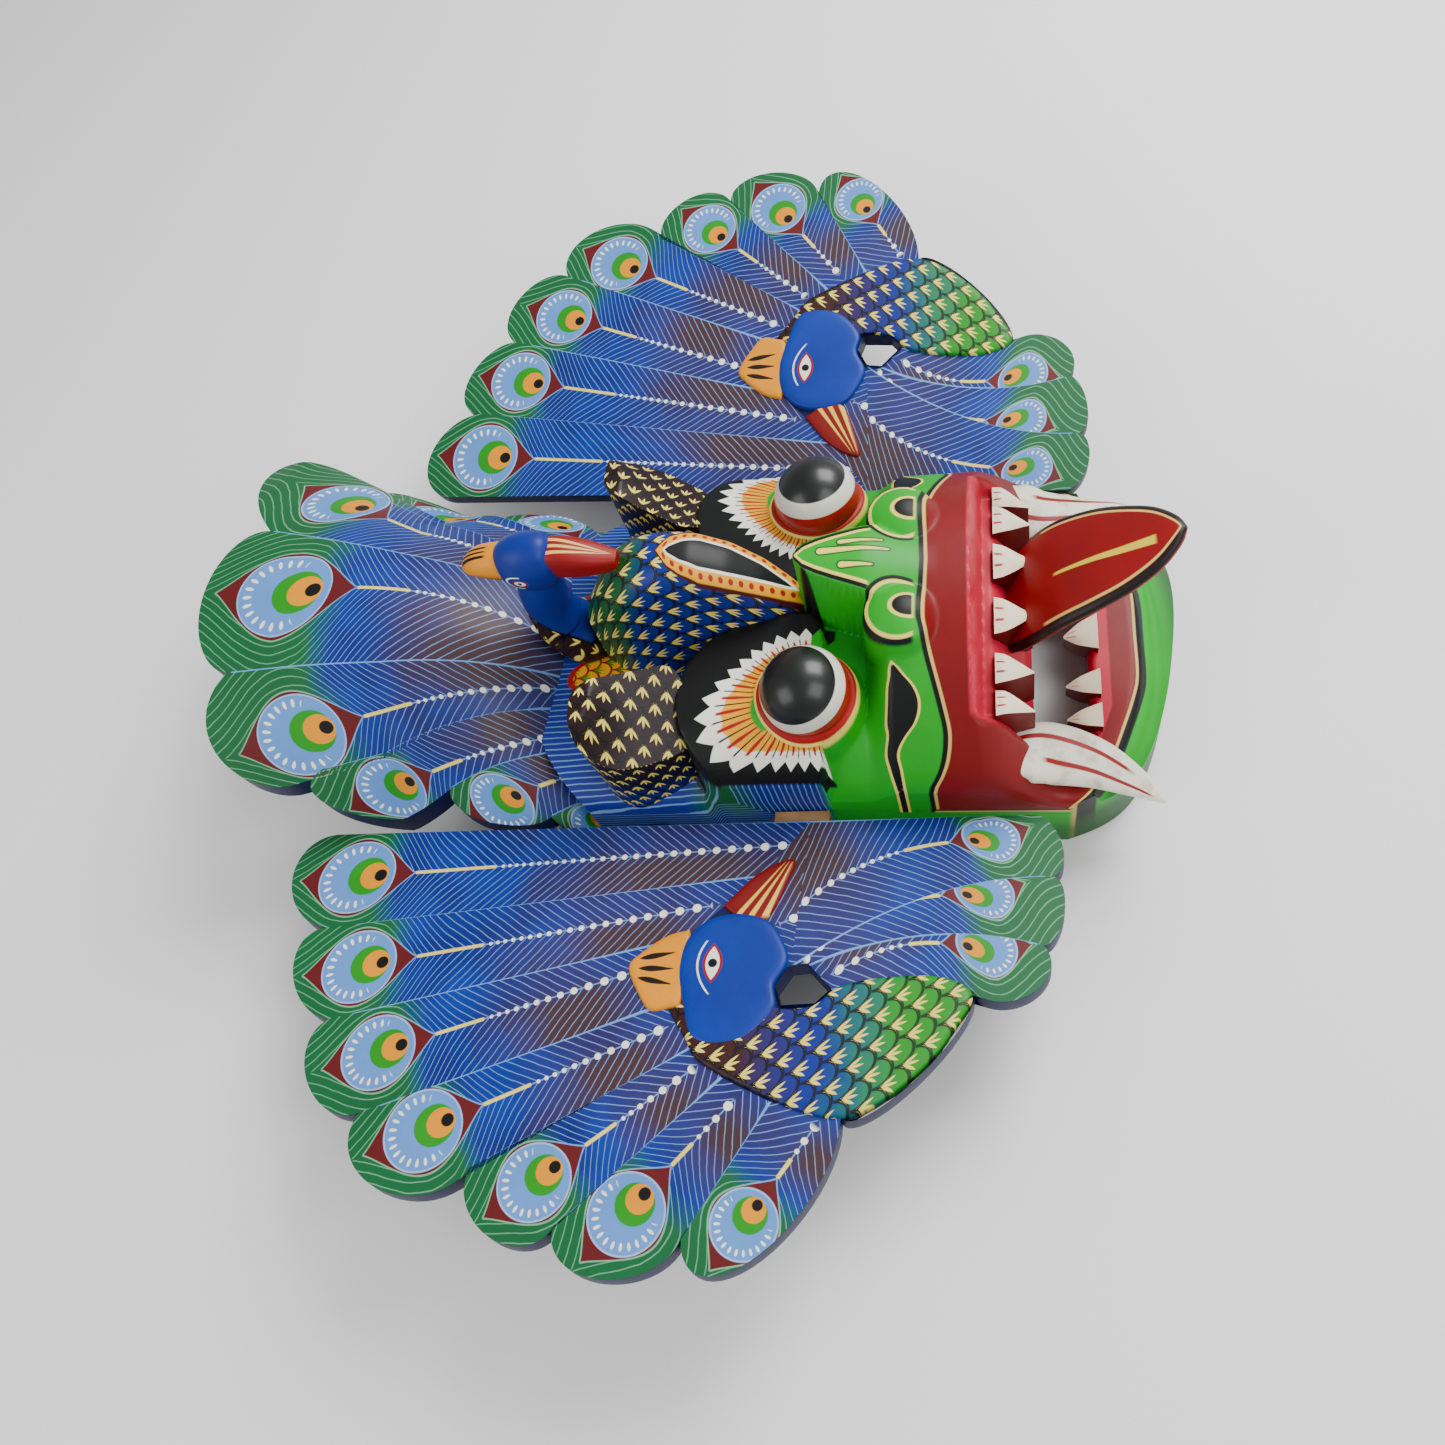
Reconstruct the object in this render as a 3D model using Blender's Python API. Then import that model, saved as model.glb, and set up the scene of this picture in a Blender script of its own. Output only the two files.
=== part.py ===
"""A carved and painted rakshasa mask in three boards of wood.

One log gives the head: the open-mouthed face, the bird that sits on the
forehead and the vaulted fan of tail feathers behind it. Two lobed boards,
each a bird with its own spread tail, hang on tenons at the sides. The mask
lies on the flat rim of its hollow back. +X runs from the fan to the chin,
+Y to the mask's left and +Z out of the face.
"""

import bmesh
import bpy
import numpy as np

# One driving dimension: the length from the tip of the fan to the chin.
MASK_LENGTH = 0.494
MM = MASK_LENGTH / 494

# The head block, from the root of the fan to the chin.
HEAD_HALF_WIDTH = 90 * MM
HEAD_START = -82 * MM
CHIN_END = 245 * MM
CHIN_SKEW = 0.15
WALL = 12 * MM

# Heights of the face above the back rim.
FOREHEAD_HEIGHT = 61 * MM
FACE_HEIGHT = 89 * MM
MUZZLE_HEIGHT = 122 * MM
GUM_HEIGHT = 92 * MM
JAW_HEIGHT = 47 * MM

# Where the face changes along the mask.
BROW_START = 14 * MM
MUZZLE_START = 98 * MM
MUZZLE_END = 149 * MM
MOUTH_START = 176 * MM
MOUTH_END = 203 * MM
MOUTH_HALF_WIDTH = 62 * MM

# Eyes and their petalled brows.
EYE_X = 73 * MM
EYE_Y = 54.5 * MM
EYE_RADIUS = 20 * MM
EYE_TOP = 120 * MM
BROW_REACH = 64 * MM
BROW_HEIGHT = 97 * MM

# The nose.
NOSE_START = 69 * MM
NOSE_END = 135 * MM
NOSE_HEIGHT = 131 * MM
BRIDGE_HALF_WIDTH = 11 * MM
NOSTRIL_X = 117.4 * MM
NOSTRIL_Y = 26.4 * MM
NOSTRIL_RADIUS = 17.5 * MM

# Teeth, tusks and tongue.
# Each tooth's place across the mouth and its width at the root.
UPPER_TEETH = ((15 * MM, 20 * MM), (41 * MM, 16 * MM), (57 * MM, 13 * MM))
LOWER_TEETH = ((0, 20 * MM), (28 * MM, 14 * MM), (46 * MM, 13 * MM))
TONGUE_HALF_WIDTH = 29 * MM
TONGUE_END = 240 * MM
TONGUE_TIP_HEIGHT = 139 * MM
TONGUE_THICKNESS = 10 * MM
TUSK_HALF_WIDTH = 16 * MM
TUSK_END = 235 * MM
TUSK_THICKNESS = 11 * MM

# The forehead bird.
BIRD_X = -57 * MM
BIRD_HEAD_HEIGHT = 138 * MM
BIRD_HEAD_RADIUS = 16 * MM
BEAK_END = -93 * MM
RIDGE_HEIGHT = 142 * MM
RIDGE_HALF_WIDTH = 17 * MM
WING_HEIGHT = 104 * MM

# The fan: a vault of one central feather and four pairs.
FAN_ROOT_X = -50 * MM
# How strongly the vault bends from side to side, from its root to its tip.
FAN_BEND_PLACES = (-0.2, 0.21, 0.5, 0.7, 0.94)
FAN_BEND = (0.0025, 0.0045, 0.0067, 0.0042, 0.0025)
FAN_RISE = 88 * MM
FAN_EASE = 58 * MM
FAN_EDGE_HEIGHT = 40 * MM
FAN_THICKNESS = 10 * MM

# The side panels.
PANEL_LENGTH = 390 * MM
PANEL_THICKNESS = 9 * MM
PANEL_INNER_Y = HEAD_HALF_WIDTH + 6.9 * MM
PANEL_HEIGHT = 45 * MM
PANEL_SHIFT = 10.9 * MM
# The boards were fitted by hand, so each has its own slope and its own turn.
PANEL_TILT = {1: np.radians(13.0), -1: np.radians(10.7)}
PANEL_TURN = {1: np.radians(-3.4), -1: np.radians(-1.7)}
RELIEF = 3 * MM
TENON_START = -38 * MM
TENON_WIDTH = 27 * MM
TENON_LENGTH = 24 * MM
MORTISE_CLEARANCE = 7 * MM

# Valleys and tips of the panel's seven tail feathers, its back and its three
# small feathers, along and out from the inner end, as shares of its length.
PANEL_VALLEYS = np.array([
    (-271, 0), (-263, 55), (-246, 103), (-217, 147), (-158, 169), (-116, 191),
    (-62, 193), (0, 144), (55, 88), (86, 67), (92, 33), (84, 0),
]) / 390
PANEL_TIPS = np.array([
    (-293, 25), (-274, 79), (-248, 133), (-199, 179), (-144, 196), (-93, 210),
    (-30, 198), (33, 125), (80, 89), (96, 50), (97, 14),
]) / 390

# Valleys and tips of the fan on one side of its middle, back from its root
# and out from its middle, as shares of its reach. The first pair of feathers
# is longer on the mask's left.
FAN_TIPS = {
    side: np.array([(198, 0), first, (119, 100), (50, 98), (-8, 97)]) / 198
    for side, first in ((1, (194, 108)), (-1, (174, 88)))
}
FAN_VALLEYS = np.array([(175, 44), (129, 84), (68, 85), (21, 90), (-40, 92)]) / 198
FAN_REACH = 197 * MM


def material(name, color, roughness, metallic=0.0):
    made = bpy.data.materials.new(name)
    made.use_nodes = True
    shader = made.node_tree.nodes["Principled BSDF"]
    shader.inputs["Base Color"].default_value = (*color, 1)
    shader.inputs["Roughness"].default_value = roughness
    shader.inputs["Metallic"].default_value = metallic
    return made


def ease(start, end, value):
    """A smooth step from 0 at start to 1 at end."""
    share = np.clip((value - start) / (end - start), 0, 1)
    return share * share * (3 - 2 * share)


def mix(first, second, share):
    return first + (second - first) * share


def lobe(start, tip, end, count):
    """Half an ellipse from start through tip to end, without the end."""
    middle = (start + end) / 2
    turn = np.linspace(-np.pi / 2, np.pi / 2, count, endpoint=False)[:, None]
    return middle + (end - start) / 2 * np.sin(turn) + (tip - middle) * np.cos(turn)


def mesh_object(name, points, faces, hidden=True):
    """A closed mesh whose normals point out."""
    mesh = bpy.data.meshes.new(name)
    mesh.from_pydata([tuple(point) for point in points], [], faces)
    work = bmesh.new()
    work.from_mesh(mesh)
    bmesh.ops.remove_doubles(work, verts=work.verts, dist=1e-6)
    bmesh.ops.recalc_face_normals(work, faces=work.faces)
    work.to_mesh(mesh)
    work.free()
    mesh.shade_smooth()
    mesh.set_sharp_from_angle(angle=np.radians(40))
    made = bpy.data.objects.new(name, mesh)
    bpy.context.scene.collection.objects.link(made)
    if hidden:
        made.hide_render = True
        made.display_type = "WIRE"
    return made


def grid_solid(name, top, bottom=None, floor=0.0, hidden=True):
    """A slab between two grids of points, or from one grid down to a flat floor."""
    rows, columns = top.shape[:2]
    number = np.arange(rows * columns).reshape(rows, columns)
    corners = (number[:-1, :-1], number[1:, :-1], number[1:, 1:], number[:-1, 1:])
    faces = [tuple(face) for face in np.stack(corners, -1).reshape(-1, 4).tolist()]
    edge = np.concatenate([number[0, :-1], number[:-1, -1], number[-1, :0:-1], number[:0:-1, 0]])
    points = [top.reshape(-1, 3)]
    if bottom is None:
        low = top.reshape(-1, 3)[edge].copy()
        low[:, 2] = floor
        below = list(range(rows * columns, rows * columns + len(edge)))
        faces.append(tuple(below))
    else:
        low = bottom.reshape(-1, 3)
        below = (edge + rows * columns).tolist()
        faces += [tuple(np.array(face) + rows * columns) for face in faces]
    points.append(low)
    edge = edge.tolist()
    for here in range(len(edge)):
        after = (here + 1) % len(edge)
        faces.append((edge[here], edge[after], below[after], below[here]))
    return mesh_object(name, np.concatenate(points), faces, hidden)


def rings_solid(name, rings, hidden=True):
    """A skin over closed rings of points, in order, with a flat cap at each end."""
    count = len(rings[0])
    faces = [tuple(range(count)), tuple(range((len(rings) - 1) * count, len(rings) * count))]
    for ring in range(len(rings) - 1):
        for here in range(count):
            after = (here + 1) % count
            first = ring * count
            faces.append((first + here, first + after, first + count + after, first + count + here))
    return mesh_object(name, np.concatenate(rings), faces, hidden)


def block(name, outline, low, height, hidden=True, steps=(1.0, 0.7, 0.35)):
    """A block on an outline in plan, with upright walls and a top that follows height(x, y)."""
    centre = outline.mean(axis=0)
    flat = np.full((len(outline), 1), low)
    rings = [np.hstack([outline, flat])]
    for step in steps:
        plan = centre + (outline - centre) * step
        rings.append(np.column_stack([plan, height(plan[:, 0], plan[:, 1])]))
    return rings_solid(name, rings, hidden)


def sweep(name, path, half_widths, half_heights, sides=10, hidden=True):
    """An oval section carried along a path that stays near one upright plane."""
    path = np.asarray(path, float)
    ahead = np.gradient(path, axis=0)
    ahead /= np.linalg.norm(ahead, axis=1)[:, None]
    across = np.cross([0, 0, 1.0], ahead)
    flat = np.linalg.norm(across, axis=1) < 0.2
    across[flat] = (0, 1, 0)
    across /= np.linalg.norm(across, axis=1)[:, None]
    up = np.cross(ahead, across)
    turn = np.linspace(0, 2 * np.pi, sides, endpoint=False)
    rings = []
    for point, side, rise, wide, high in zip(path, across, up, half_widths, half_heights):
        rings.append(point + np.outer(np.cos(turn) * wide, side) + np.outer(np.sin(turn) * high, rise))
    return rings_solid(name, rings, hidden)


def combine(target, helpers, operation):
    """Joins or cuts the helpers one by one. EXACT leaves slivers where so many curved skins meet."""
    for helper in helpers:
        step = target.modifiers.new(helper.name, "BOOLEAN")
        step.object = helper
        step.operation = operation
        step.solver = "MANIFOLD"


def chin_line(across):
    """Where the front of the jaw turns down, across the chin."""
    return 228 * MM - 30 * MM * (across / (88 * MM)) ** 2.6


def head_height(x, y):
    """The height of the face over its plan, before the raised parts."""
    across = np.abs(y)
    share = across / HEAD_HALF_WIDTH
    forehead = FOREHEAD_HEIGHT - 18 * MM * share**3
    face = FACE_HEIGHT - 32 * MM * share**4
    muzzle = MUZZLE_HEIGHT - 55 * MM * share**2.3
    gum = mix(GUM_HEIGHT, 66 * MM, ease(MUZZLE_END + 8 * MM, MOUTH_START - 2 * MM, x))
    gum = gum - 10 * MM * np.clip(across / MOUTH_HALF_WIDTH, 0, 1) ** 2
    inside = 1 - ease(MOUTH_HALF_WIDTH - 2 * MM, MOUTH_HALF_WIDTH + 8 * MM, across)
    floor = mix(gum, 40 * MM, ease(MOUTH_START - 4 * MM, MOUTH_START, x))
    corner = mix(muzzle, JAW_HEIGHT, ease(MUZZLE_END, MOUTH_END - 10 * MM, x))
    jaw = JAW_HEIGHT - 4 * MM * share**2 - np.maximum(0, x - chin_line(across))
    height = mix(forehead, face, ease(BROW_START, BROW_START + 10 * MM, x))
    height = mix(height, muzzle, ease(MUZZLE_START, MUZZLE_START + 16 * MM, x))
    height = mix(height, mix(corner, floor, inside), ease(MUZZLE_END, MUZZLE_END + 5 * MM, x))
    return mix(height, jaw, ease(MOUTH_END - 1 * MM, MOUTH_END + 3 * MM, x))


def chin_end(across):
    """The front of the chin, a little longer on the mask's left."""
    corner = 18 * MM * np.abs(across) ** 2.5 + 22 * MM * np.abs(across) ** 10
    return CHIN_END + CHIN_SKEW * HEAD_HALF_WIDTH * across - corner


def head_plan(along, across):
    """Plan position of a share along the head and a share across it."""
    start = HEAD_START + 34 * MM * np.abs(across) ** 3
    end = chin_end(across)
    return start + (end - start) * along, HEAD_HALF_WIDTH * across


def head_grid(rows, columns):
    along, across = np.meshgrid(np.linspace(0, 1, rows), np.linspace(-1, 1, columns), indexing="ij")
    return head_plan(along, across)


def head_block():
    x, y = head_grid(52, 19)
    return grid_solid("carved_head", np.stack([x, y, head_height(x, y)], -1), hidden=False)


def hollow_back():
    """The inside of the mask: the face moved in by the wall, so the rim is the floor's outline."""
    inset = WALL / HEAD_HALF_WIDTH
    across = np.array([inset, inset + 0.012, 0.25, 0.42, 0.6, 0.8, 1.0]) - 1
    across = np.concatenate([across, -across[-2::-1]])
    inset = WALL / (CHIN_END - HEAD_START)
    along = np.concatenate([[inset, inset + 0.004], np.linspace(0.08, 0.93, 23), [0.996 - inset, 1 - inset]])
    x, y = head_plan(*np.meshgrid(along, across, indexing="ij"))
    height = np.full(x.shape, 1.0)
    for radius in (0, WALL * 0.5, WALL * 0.87, WALL):
        drop = np.sqrt(max(0, WALL**2 - radius**2))
        for turn in np.linspace(0, 2 * np.pi, 12, endpoint=False):
            near_x = x + radius * np.cos(turn)
            near_y = y + radius * np.sin(turn)
            share = np.clip(np.abs(near_y) / HEAD_HALF_WIDTH, 0, 1)
            inside = np.abs(near_y) < HEAD_HALF_WIDTH
            inside &= near_x > HEAD_START + 34 * MM * share**3
            inside &= near_x < chin_end(near_y / HEAD_HALF_WIDTH)
            face = np.where(inside, head_height(near_x, near_y), -40 * MM)
            height = np.minimum(height, face - drop)
    height = np.minimum(height, 76 * MM)
    low = -9 * MM
    return grid_solid("hollow", np.stack([x, y, np.maximum(height, low / 2)], -1), floor=low)


def brow_height(x, y):
    return BROW_HEIGHT - 27 * MM * (np.abs(y) / (94 * MM)) ** 5


def brow(side):
    """A plate round the eye whose outer edge runs out to a point, like a ring of petals."""
    turn = np.linspace(0, 2 * np.pi, 26, endpoint=False)
    reach = mix(0.7, 1.0, (0.5 - 0.5 * np.cos(turn)) ** 3) * BROW_REACH
    reach = reach * mix(0.5, 1, ease(0.35, 0.0, np.cos(turn)))
    reach = np.maximum(reach, EYE_RADIUS * 1.2)
    outline = np.column_stack([EYE_X + reach * np.cos(turn), EYE_Y + reach * np.sin(turn) * 0.93])
    outline[:, 1] = np.minimum(outline[:, 1], HEAD_HALF_WIDTH - MM) * side
    return block(f"brow_{side}", outline, FOREHEAD_HEIGHT - 8 * MM, brow_height, steps=(1.0, 0.6))


def eye(side):
    turn = np.radians([-60, -20, 12, 40, 65, 82])
    rings = []
    for angle in turn:
        around = np.linspace(0, 2 * np.pi, 16, endpoint=False)
        reach = EYE_RADIUS * np.cos(angle)
        height = np.full(16, EYE_TOP - EYE_RADIUS + EYE_RADIUS * np.sin(angle))
        rings.append(np.column_stack([
            EYE_X + reach * np.cos(around), side * EYE_Y + reach * np.sin(around), height,
        ]))
    return rings_solid(f"eye_{side}", rings)


def nose_height(x, y):
    return NOSE_HEIGHT - 8 * MM * ease(MUZZLE_START, NOSE_END, x) - 4 * MM * (y / NOSTRIL_Y) ** 2


def nose():
    along = np.array([0, 0.05, 0.4, 0.6, 0.8, 0.95, 1.0])
    wide = np.array([0.35, 0.8, 1.3, 1.8, 1.7, 1.2, 0.5]) * BRIDGE_HALF_WIDTH
    x = NOSE_START + (NOSE_END - NOSE_START) * along
    outline = np.concatenate([np.column_stack([x, wide]), np.column_stack([x, -wide])[::-1]])
    return block("nose", outline, FACE_HEIGHT - 8 * MM, nose_height)


def nostril(side):
    turn = np.linspace(0, 2 * np.pi, 16, endpoint=False)
    outline = np.column_stack([
        NOSTRIL_X + NOSTRIL_RADIUS * np.cos(turn), side * NOSTRIL_Y + NOSTRIL_RADIUS * np.sin(turn),
    ])

    def height(x, y):
        reach = np.hypot(x - NOSTRIL_X, y - side * NOSTRIL_Y) / NOSTRIL_RADIUS
        return 128 * MM - 9 * MM * reach**2

    return block(f"nostril_{side}", outline, FACE_HEIGHT - 4 * MM, height)


def tooth(name, y, width, steps):
    """A wedge on a row of sections, each its place along the mouth, top, foot and share of the width."""
    rings = []
    for x, high, low, share in steps:
        half = width / 2 * share
        rings.append(np.array([
            (x * MM, y + half * across, level * MM)
            for across, level in ((-1, low), (1, low), (1, high - 1.5), (0, high), (-1, high - 1.5))
        ]))
    return rings_solid(name, rings)


def upper_tooth(y, width):
    drop = 9 * (np.abs(y) / MOUTH_HALF_WIDTH) ** 2
    steps = [
        (x, high - drop, low - drop, share)
        for x, high, low, share in ((151, 97, 78, 1.0), (160, 91, 68, 0.75), (174, 73, 62, 0.14))
    ]
    return tooth(f"upper_tooth_{round(y / MM)}", y, width, steps)


def lower_tooth(y, width):
    steps = ((192, 45, 38, 0.14), (198, 48, 37.5, 0.6), (208, 52, 37, 1.0))
    return tooth(f"lower_tooth_{round(y / MM)}", y, width, steps)


def tongue():
    along = np.array([-0.45, -0.1, 0.12, 0.35, 0.55, 0.75, 0.9, 1.0])
    start = MOUTH_START - 4 * MM
    x = start + (TONGUE_END - start) * along
    z = mix(100 * MM, TONGUE_TIP_HEIGHT - TONGUE_THICKNESS / 2, np.clip(along, -0.3, 1))
    wide = TONGUE_HALF_WIDTH * np.array([0.7, 0.95, 1.0, 0.97, 0.9, 0.76, 0.52, 0.15])
    high = TONGUE_THICKNESS / 2 * np.array([1, 1, 1, 1, 1, 0.9, 0.8, 0.4])
    return sweep("tongue", np.column_stack([x, 0 * x, z]), wide, high, sides=12)


def tusk(side):
    along = np.array([0, 0.3, 0.6, 0.85, 1.0])
    start = 158 * MM
    x = start + (TUSK_END - start) * along
    y = side * np.array([77, 68, 70, 77, 83]) * MM
    z = np.array([66, 53, 48, 40, 32]) * MM
    wide = TUSK_HALF_WIDTH * np.array([0.9, 1.0, 0.75, 0.4, 0.06])
    high = TUSK_THICKNESS / 2 * np.array([1.2, 1, 0.9, 0.6, 0.2])
    return sweep(f"tusk_{side}", np.column_stack([x, y, z]), wide, high, sides=10)


def neck():
    path = np.array([(-36, 0, 56), (-56, 0, 72), (-61, 0, 95), (-59, 0, 118), (-57, 0, 134)]) * MM
    wide = np.array([17, 15, 12, 11.5, 10]) * MM
    return sweep("neck", path, wide, wide * 1.05, sides=12)


def bird_head():
    rings = []
    for angle in np.radians([-75, -45, -15, 15, 45, 75]):
        around = np.linspace(0, 2 * np.pi, 12, endpoint=False)
        reach = BIRD_HEAD_RADIUS * np.cos(angle)
        rings.append(np.column_stack([
            BIRD_X + reach * np.cos(around), reach * np.sin(around) * 0.85,
            np.full(12, BIRD_HEAD_HEIGHT + BIRD_HEAD_RADIUS * 1.1 * np.sin(angle)),
        ]))
    return rings_solid("bird_head", rings)


def beak():
    x = np.linspace(BIRD_X - BIRD_HEAD_RADIUS * 0.5, BEAK_END, 5)
    z = BIRD_HEAD_HEIGHT + np.array([0, 2, 3, 2, 0]) * MM
    size = np.array([9, 8, 6, 3.5, 0.8]) * MM
    return sweep("beak", np.column_stack([x, 0 * x, z]), size * 0.8, size, sides=8)


def crest():
    x = np.array([-52, -42, -32, -22, -16]) * MM
    z = np.array([140, 140, 138, 136, 135]) * MM
    return sweep(
        "crest", np.column_stack([x, 0 * x, z]),
        np.array([7, 7.5, 8, 7, 3]) * MM, np.array([8, 9, 8, 6, 3]) * MM, sides=8,
    )


def ridge():
    """The bird's body and the long drop-shaped leaf that runs down the forehead."""
    x = np.array([-28, -22, -8, 8, 22, 38, 52, 64, 73]) * MM
    wide = np.array([0.35, 0.85, 1.05, 0.95, 0.85, 0.95, 0.8, 0.45, 0.1]) * RIDGE_HALF_WIDTH
    share = RIDGE_HEIGHT / 142
    high = np.array([122, 128, 137, 142, 140, 131, 119, 104, 90]) * share
    low = FOREHEAD_HEIGHT - 6 * MM
    rings = []
    for along, half, top in zip(x, wide, high):
        rings.append(np.array([
            (along, -half, low), (along, half, low), (along, half, top - 9 * MM),
            (along, half * 0.7, top - 2 * MM), (along, 0, top),
            (along, -half * 0.7, top - 2 * MM), (along, -half, top - 9 * MM),
        ]))
    return rings_solid("ridge", rings)


def wing(side):
    corners = np.array([(-36, 69), (-32, 56), (-8, 45), (8, 42), (15, 56), (13, 72), (-15, 88), (-31, 83)])
    outline = corners * MM * (1, side)

    def height(x, y):
        slope = WING_HEIGHT - 0.54 * (x + 14 * MM) - 0.54 * (np.abs(y) - 64 * MM)
        tip = np.exp(-((x + 33 * MM) ** 2 + (np.abs(y) - 70 * MM) ** 2) / (14 * MM) ** 2)
        return np.minimum(slope - 3 * MM + 12 * MM * tip, 116 * MM)

    return block(f"wing_{side}", outline, FOREHEAD_HEIGHT - 16 * MM, height, steps=(1.0, 0.85, 0.4))


def fan_edge(side):
    """The lobed edge on one side, from the middle of the central feather down to the cheek."""
    tips = FAN_TIPS[side] * FAN_REACH
    valleys = FAN_VALLEYS * FAN_REACH
    edge = [lobe(valleys[0] * (1, -1), tips[0], valleys[0], 12)[6:]]
    for number in range(1, len(tips)):
        edge.append(lobe(valleys[number - 1], tips[number], valleys[number], 8))
    return np.concatenate(edge + [valleys[-1:]])


def fan_height(along, across):
    """The vault: a middle line that rises fast from the root, over a parabola from side to side."""
    rise = FAN_RISE * np.maximum(1 - np.exp(-along / FAN_EASE), 0.05)
    bend = np.interp(along / FAN_REACH, FAN_BEND_PLACES, FAN_BEND)
    slope = 2 * bend * across / MM
    return FAN_EDGE_HEIGHT + rise - bend * across**2 / MM, FAN_THICKNESS * np.sqrt(1 + slope**2)


def fan():
    left, right = fan_edge(1), fan_edge(-1) * (1, -1)
    edge = np.concatenate([right[:0:-1], left])
    shares = np.array([0.14, 0.42, 0.7, 0.88, 1.0])[:, None, None]
    plan = edge[None] * shares
    height, thick = fan_height(plan[..., 0], plan[..., 1])
    top = np.stack([FAN_ROOT_X - plan[..., 0], plan[..., 1], height], -1)
    return grid_solid("fan", top, top - thick[..., None] * (0, 0, 1))


def panel_place(points, side):
    """From the panel's own length, width and thickness to its place beside the head."""
    along, out, thick = np.moveaxis(np.asarray(points, float), -1, 0)
    turn, tilt = PANEL_TURN[side], PANEL_TILT[side]
    x = np.cos(turn) * along - np.sin(turn) * out
    y = np.sin(turn) * along + np.cos(turn) * out
    reach = PANEL_INNER_Y + y * np.cos(tilt) - thick * np.sin(tilt)
    height = PANEL_HEIGHT + y * np.sin(tilt) + thick * np.cos(tilt)
    return np.stack([x + 100 * MM + side * PANEL_SHIFT, side * reach, height], -1)


def panel_slab(name, outline, low, high, side, hidden=True, edge=0.0):
    """A flat piece of the panel between two depths, its front edge cut back by edge."""
    ahead = np.roll(outline, -1, axis=0) - np.roll(outline, 1, axis=0)
    inward = np.column_stack([-ahead[:, 1], ahead[:, 0]])
    inward /= np.linalg.norm(inward, axis=1)[:, None]
    area = np.sum(outline[:, 0] * np.roll(outline[:, 1], -1) - outline[:, 1] * np.roll(outline[:, 0], -1))
    front = outline + inward * edge * np.sign(area)
    rings = []
    levels = [(outline, low), (outline, high - edge), (front, high)] if edge else [(outline, low), (outline, high)]
    for plan, level in levels:
        rings.append(panel_place(np.column_stack([plan, np.full(len(plan), level)]), side))
    return rings_solid(name, rings, hidden)


def panel_outline():
    valleys = PANEL_VALLEYS * PANEL_LENGTH
    tips = PANEL_TIPS * PANEL_LENGTH
    edge = [lobe(valleys[number], tips[number], valleys[number + 1], 8) for number in range(len(tips))]
    return np.concatenate(edge + [valleys[-1:]])


def panel_bird():
    """Head, beak and back of the bird carved on the panel, as one outline."""
    share = PANEL_LENGTH / 390
    head = lobe(np.array((-76.0, 58)), np.array((-52.0, 50)), np.array((-34.0, 62)), 6)
    back = lobe(np.array((4.0, 76)), np.array((30.0, 96)), np.array((50.0, 86)), 5)
    belly = lobe(np.array((50.0, 86)), np.array((26.0, 124)), np.array((-4.0, 139)), 6)
    breast = lobe(np.array((-4.0, 139)), np.array((-52.0, 124)), np.array((-76.0, 98)), 6)
    beak_tip = np.array([(-90.0, 95), (-101.0, 77)])
    return np.concatenate([head, back, belly, breast, beak_tip]) * share


def panel_hole():
    share = PANEL_LENGTH / 390
    return np.array([(-31, 87), (-25, 77), (-17, 76), (-6, 88), (-13, 95), (-28, 96)]) * share


def panel(name, side, paint):
    board = panel_slab(name, panel_outline(), -PANEL_THICKNESS, 0, side, hidden=False, edge=1.5 * MM)
    bird = panel_slab(f"bird_{side}", panel_bird(), -4 * MM, RELIEF, side, edge=1.2 * MM)
    end = TENON_START + TENON_WIDTH
    tongue_outline = np.array([
        (TENON_START, -TENON_LENGTH), (end, -TENON_LENGTH), (end, 12 * MM), (TENON_START, 12 * MM),
    ])
    tenon = panel_slab(f"tenon_{side}", tongue_outline, -PANEL_THICKNESS + 0.7 * MM, -0.9 * MM, side)
    hole = panel_slab(f"hole_{side}", panel_hole(), -PANEL_THICKNESS - 6 * MM, 6 * MM, side)
    combine(board, [bird, tenon], "UNION")
    combine(board, [hole], "DIFFERENCE")
    board.data.materials.append(paint)
    return board


def mortise(side):
    """A slot through the side wall, wider than the tenon by the clearance."""
    middle = 100 * MM + side * PANEL_SHIFT + TENON_START + TENON_WIDTH / 2
    half = TENON_WIDTH / 2 + MORTISE_CLEARANCE
    low = PANEL_HEIGHT - PANEL_THICKNESS - 9 * MM
    high = PANEL_HEIGHT + 4 * MM
    near = side * (HEAD_HALF_WIDTH - 24 * MM)
    far = side * (HEAD_HALF_WIDTH + 12 * MM)
    rings = []
    for y in (near, far):
        rings.append(np.array([
            (middle - half, y, low), (middle + half, y, low),
            (middle + half, y, high), (middle - half, y, high),
        ]))
    return rings_solid(f"mortise_{side}", rings)


def mouth():
    turn = np.linspace(0, 2 * np.pi, 20, endpoint=False)
    middle = (MOUTH_START + MOUTH_END) / 2
    half = (MOUTH_END - MOUTH_START) / 2
    x = middle + half * np.sign(np.cos(turn)) * np.abs(np.cos(turn)) ** 0.4
    y = MOUTH_HALF_WIDTH * np.sign(np.sin(turn)) * np.abs(np.sin(turn)) ** 0.4
    rings = [np.column_stack([x, y, np.full(20, level)]) for level in (-10 * MM, 63 * MM)]
    return rings_solid("mouth", rings)


def carved_head(paint):
    head = head_block()
    combine(head, [mouth()], "DIFFERENCE")
    raised = [fan(), neck(), bird_head(), beak(), crest(), ridge(), nose(), tongue()]
    for side in (-1, 1):
        raised += [brow(side), eye(side), nostril(side), wing(side), tusk(side)]
        raised += [upper_tooth(side * y, width) for y, width in UPPER_TEETH]
        raised += [lower_tooth(side * y, width) for y, width in LOWER_TEETH if y or side > 0]
    combine(head, raised, "UNION")
    combine(head, [hollow_back(), mortise(-1), mortise(1)], "DIFFERENCE")
    head.data.materials.append(paint)
    return head


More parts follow.
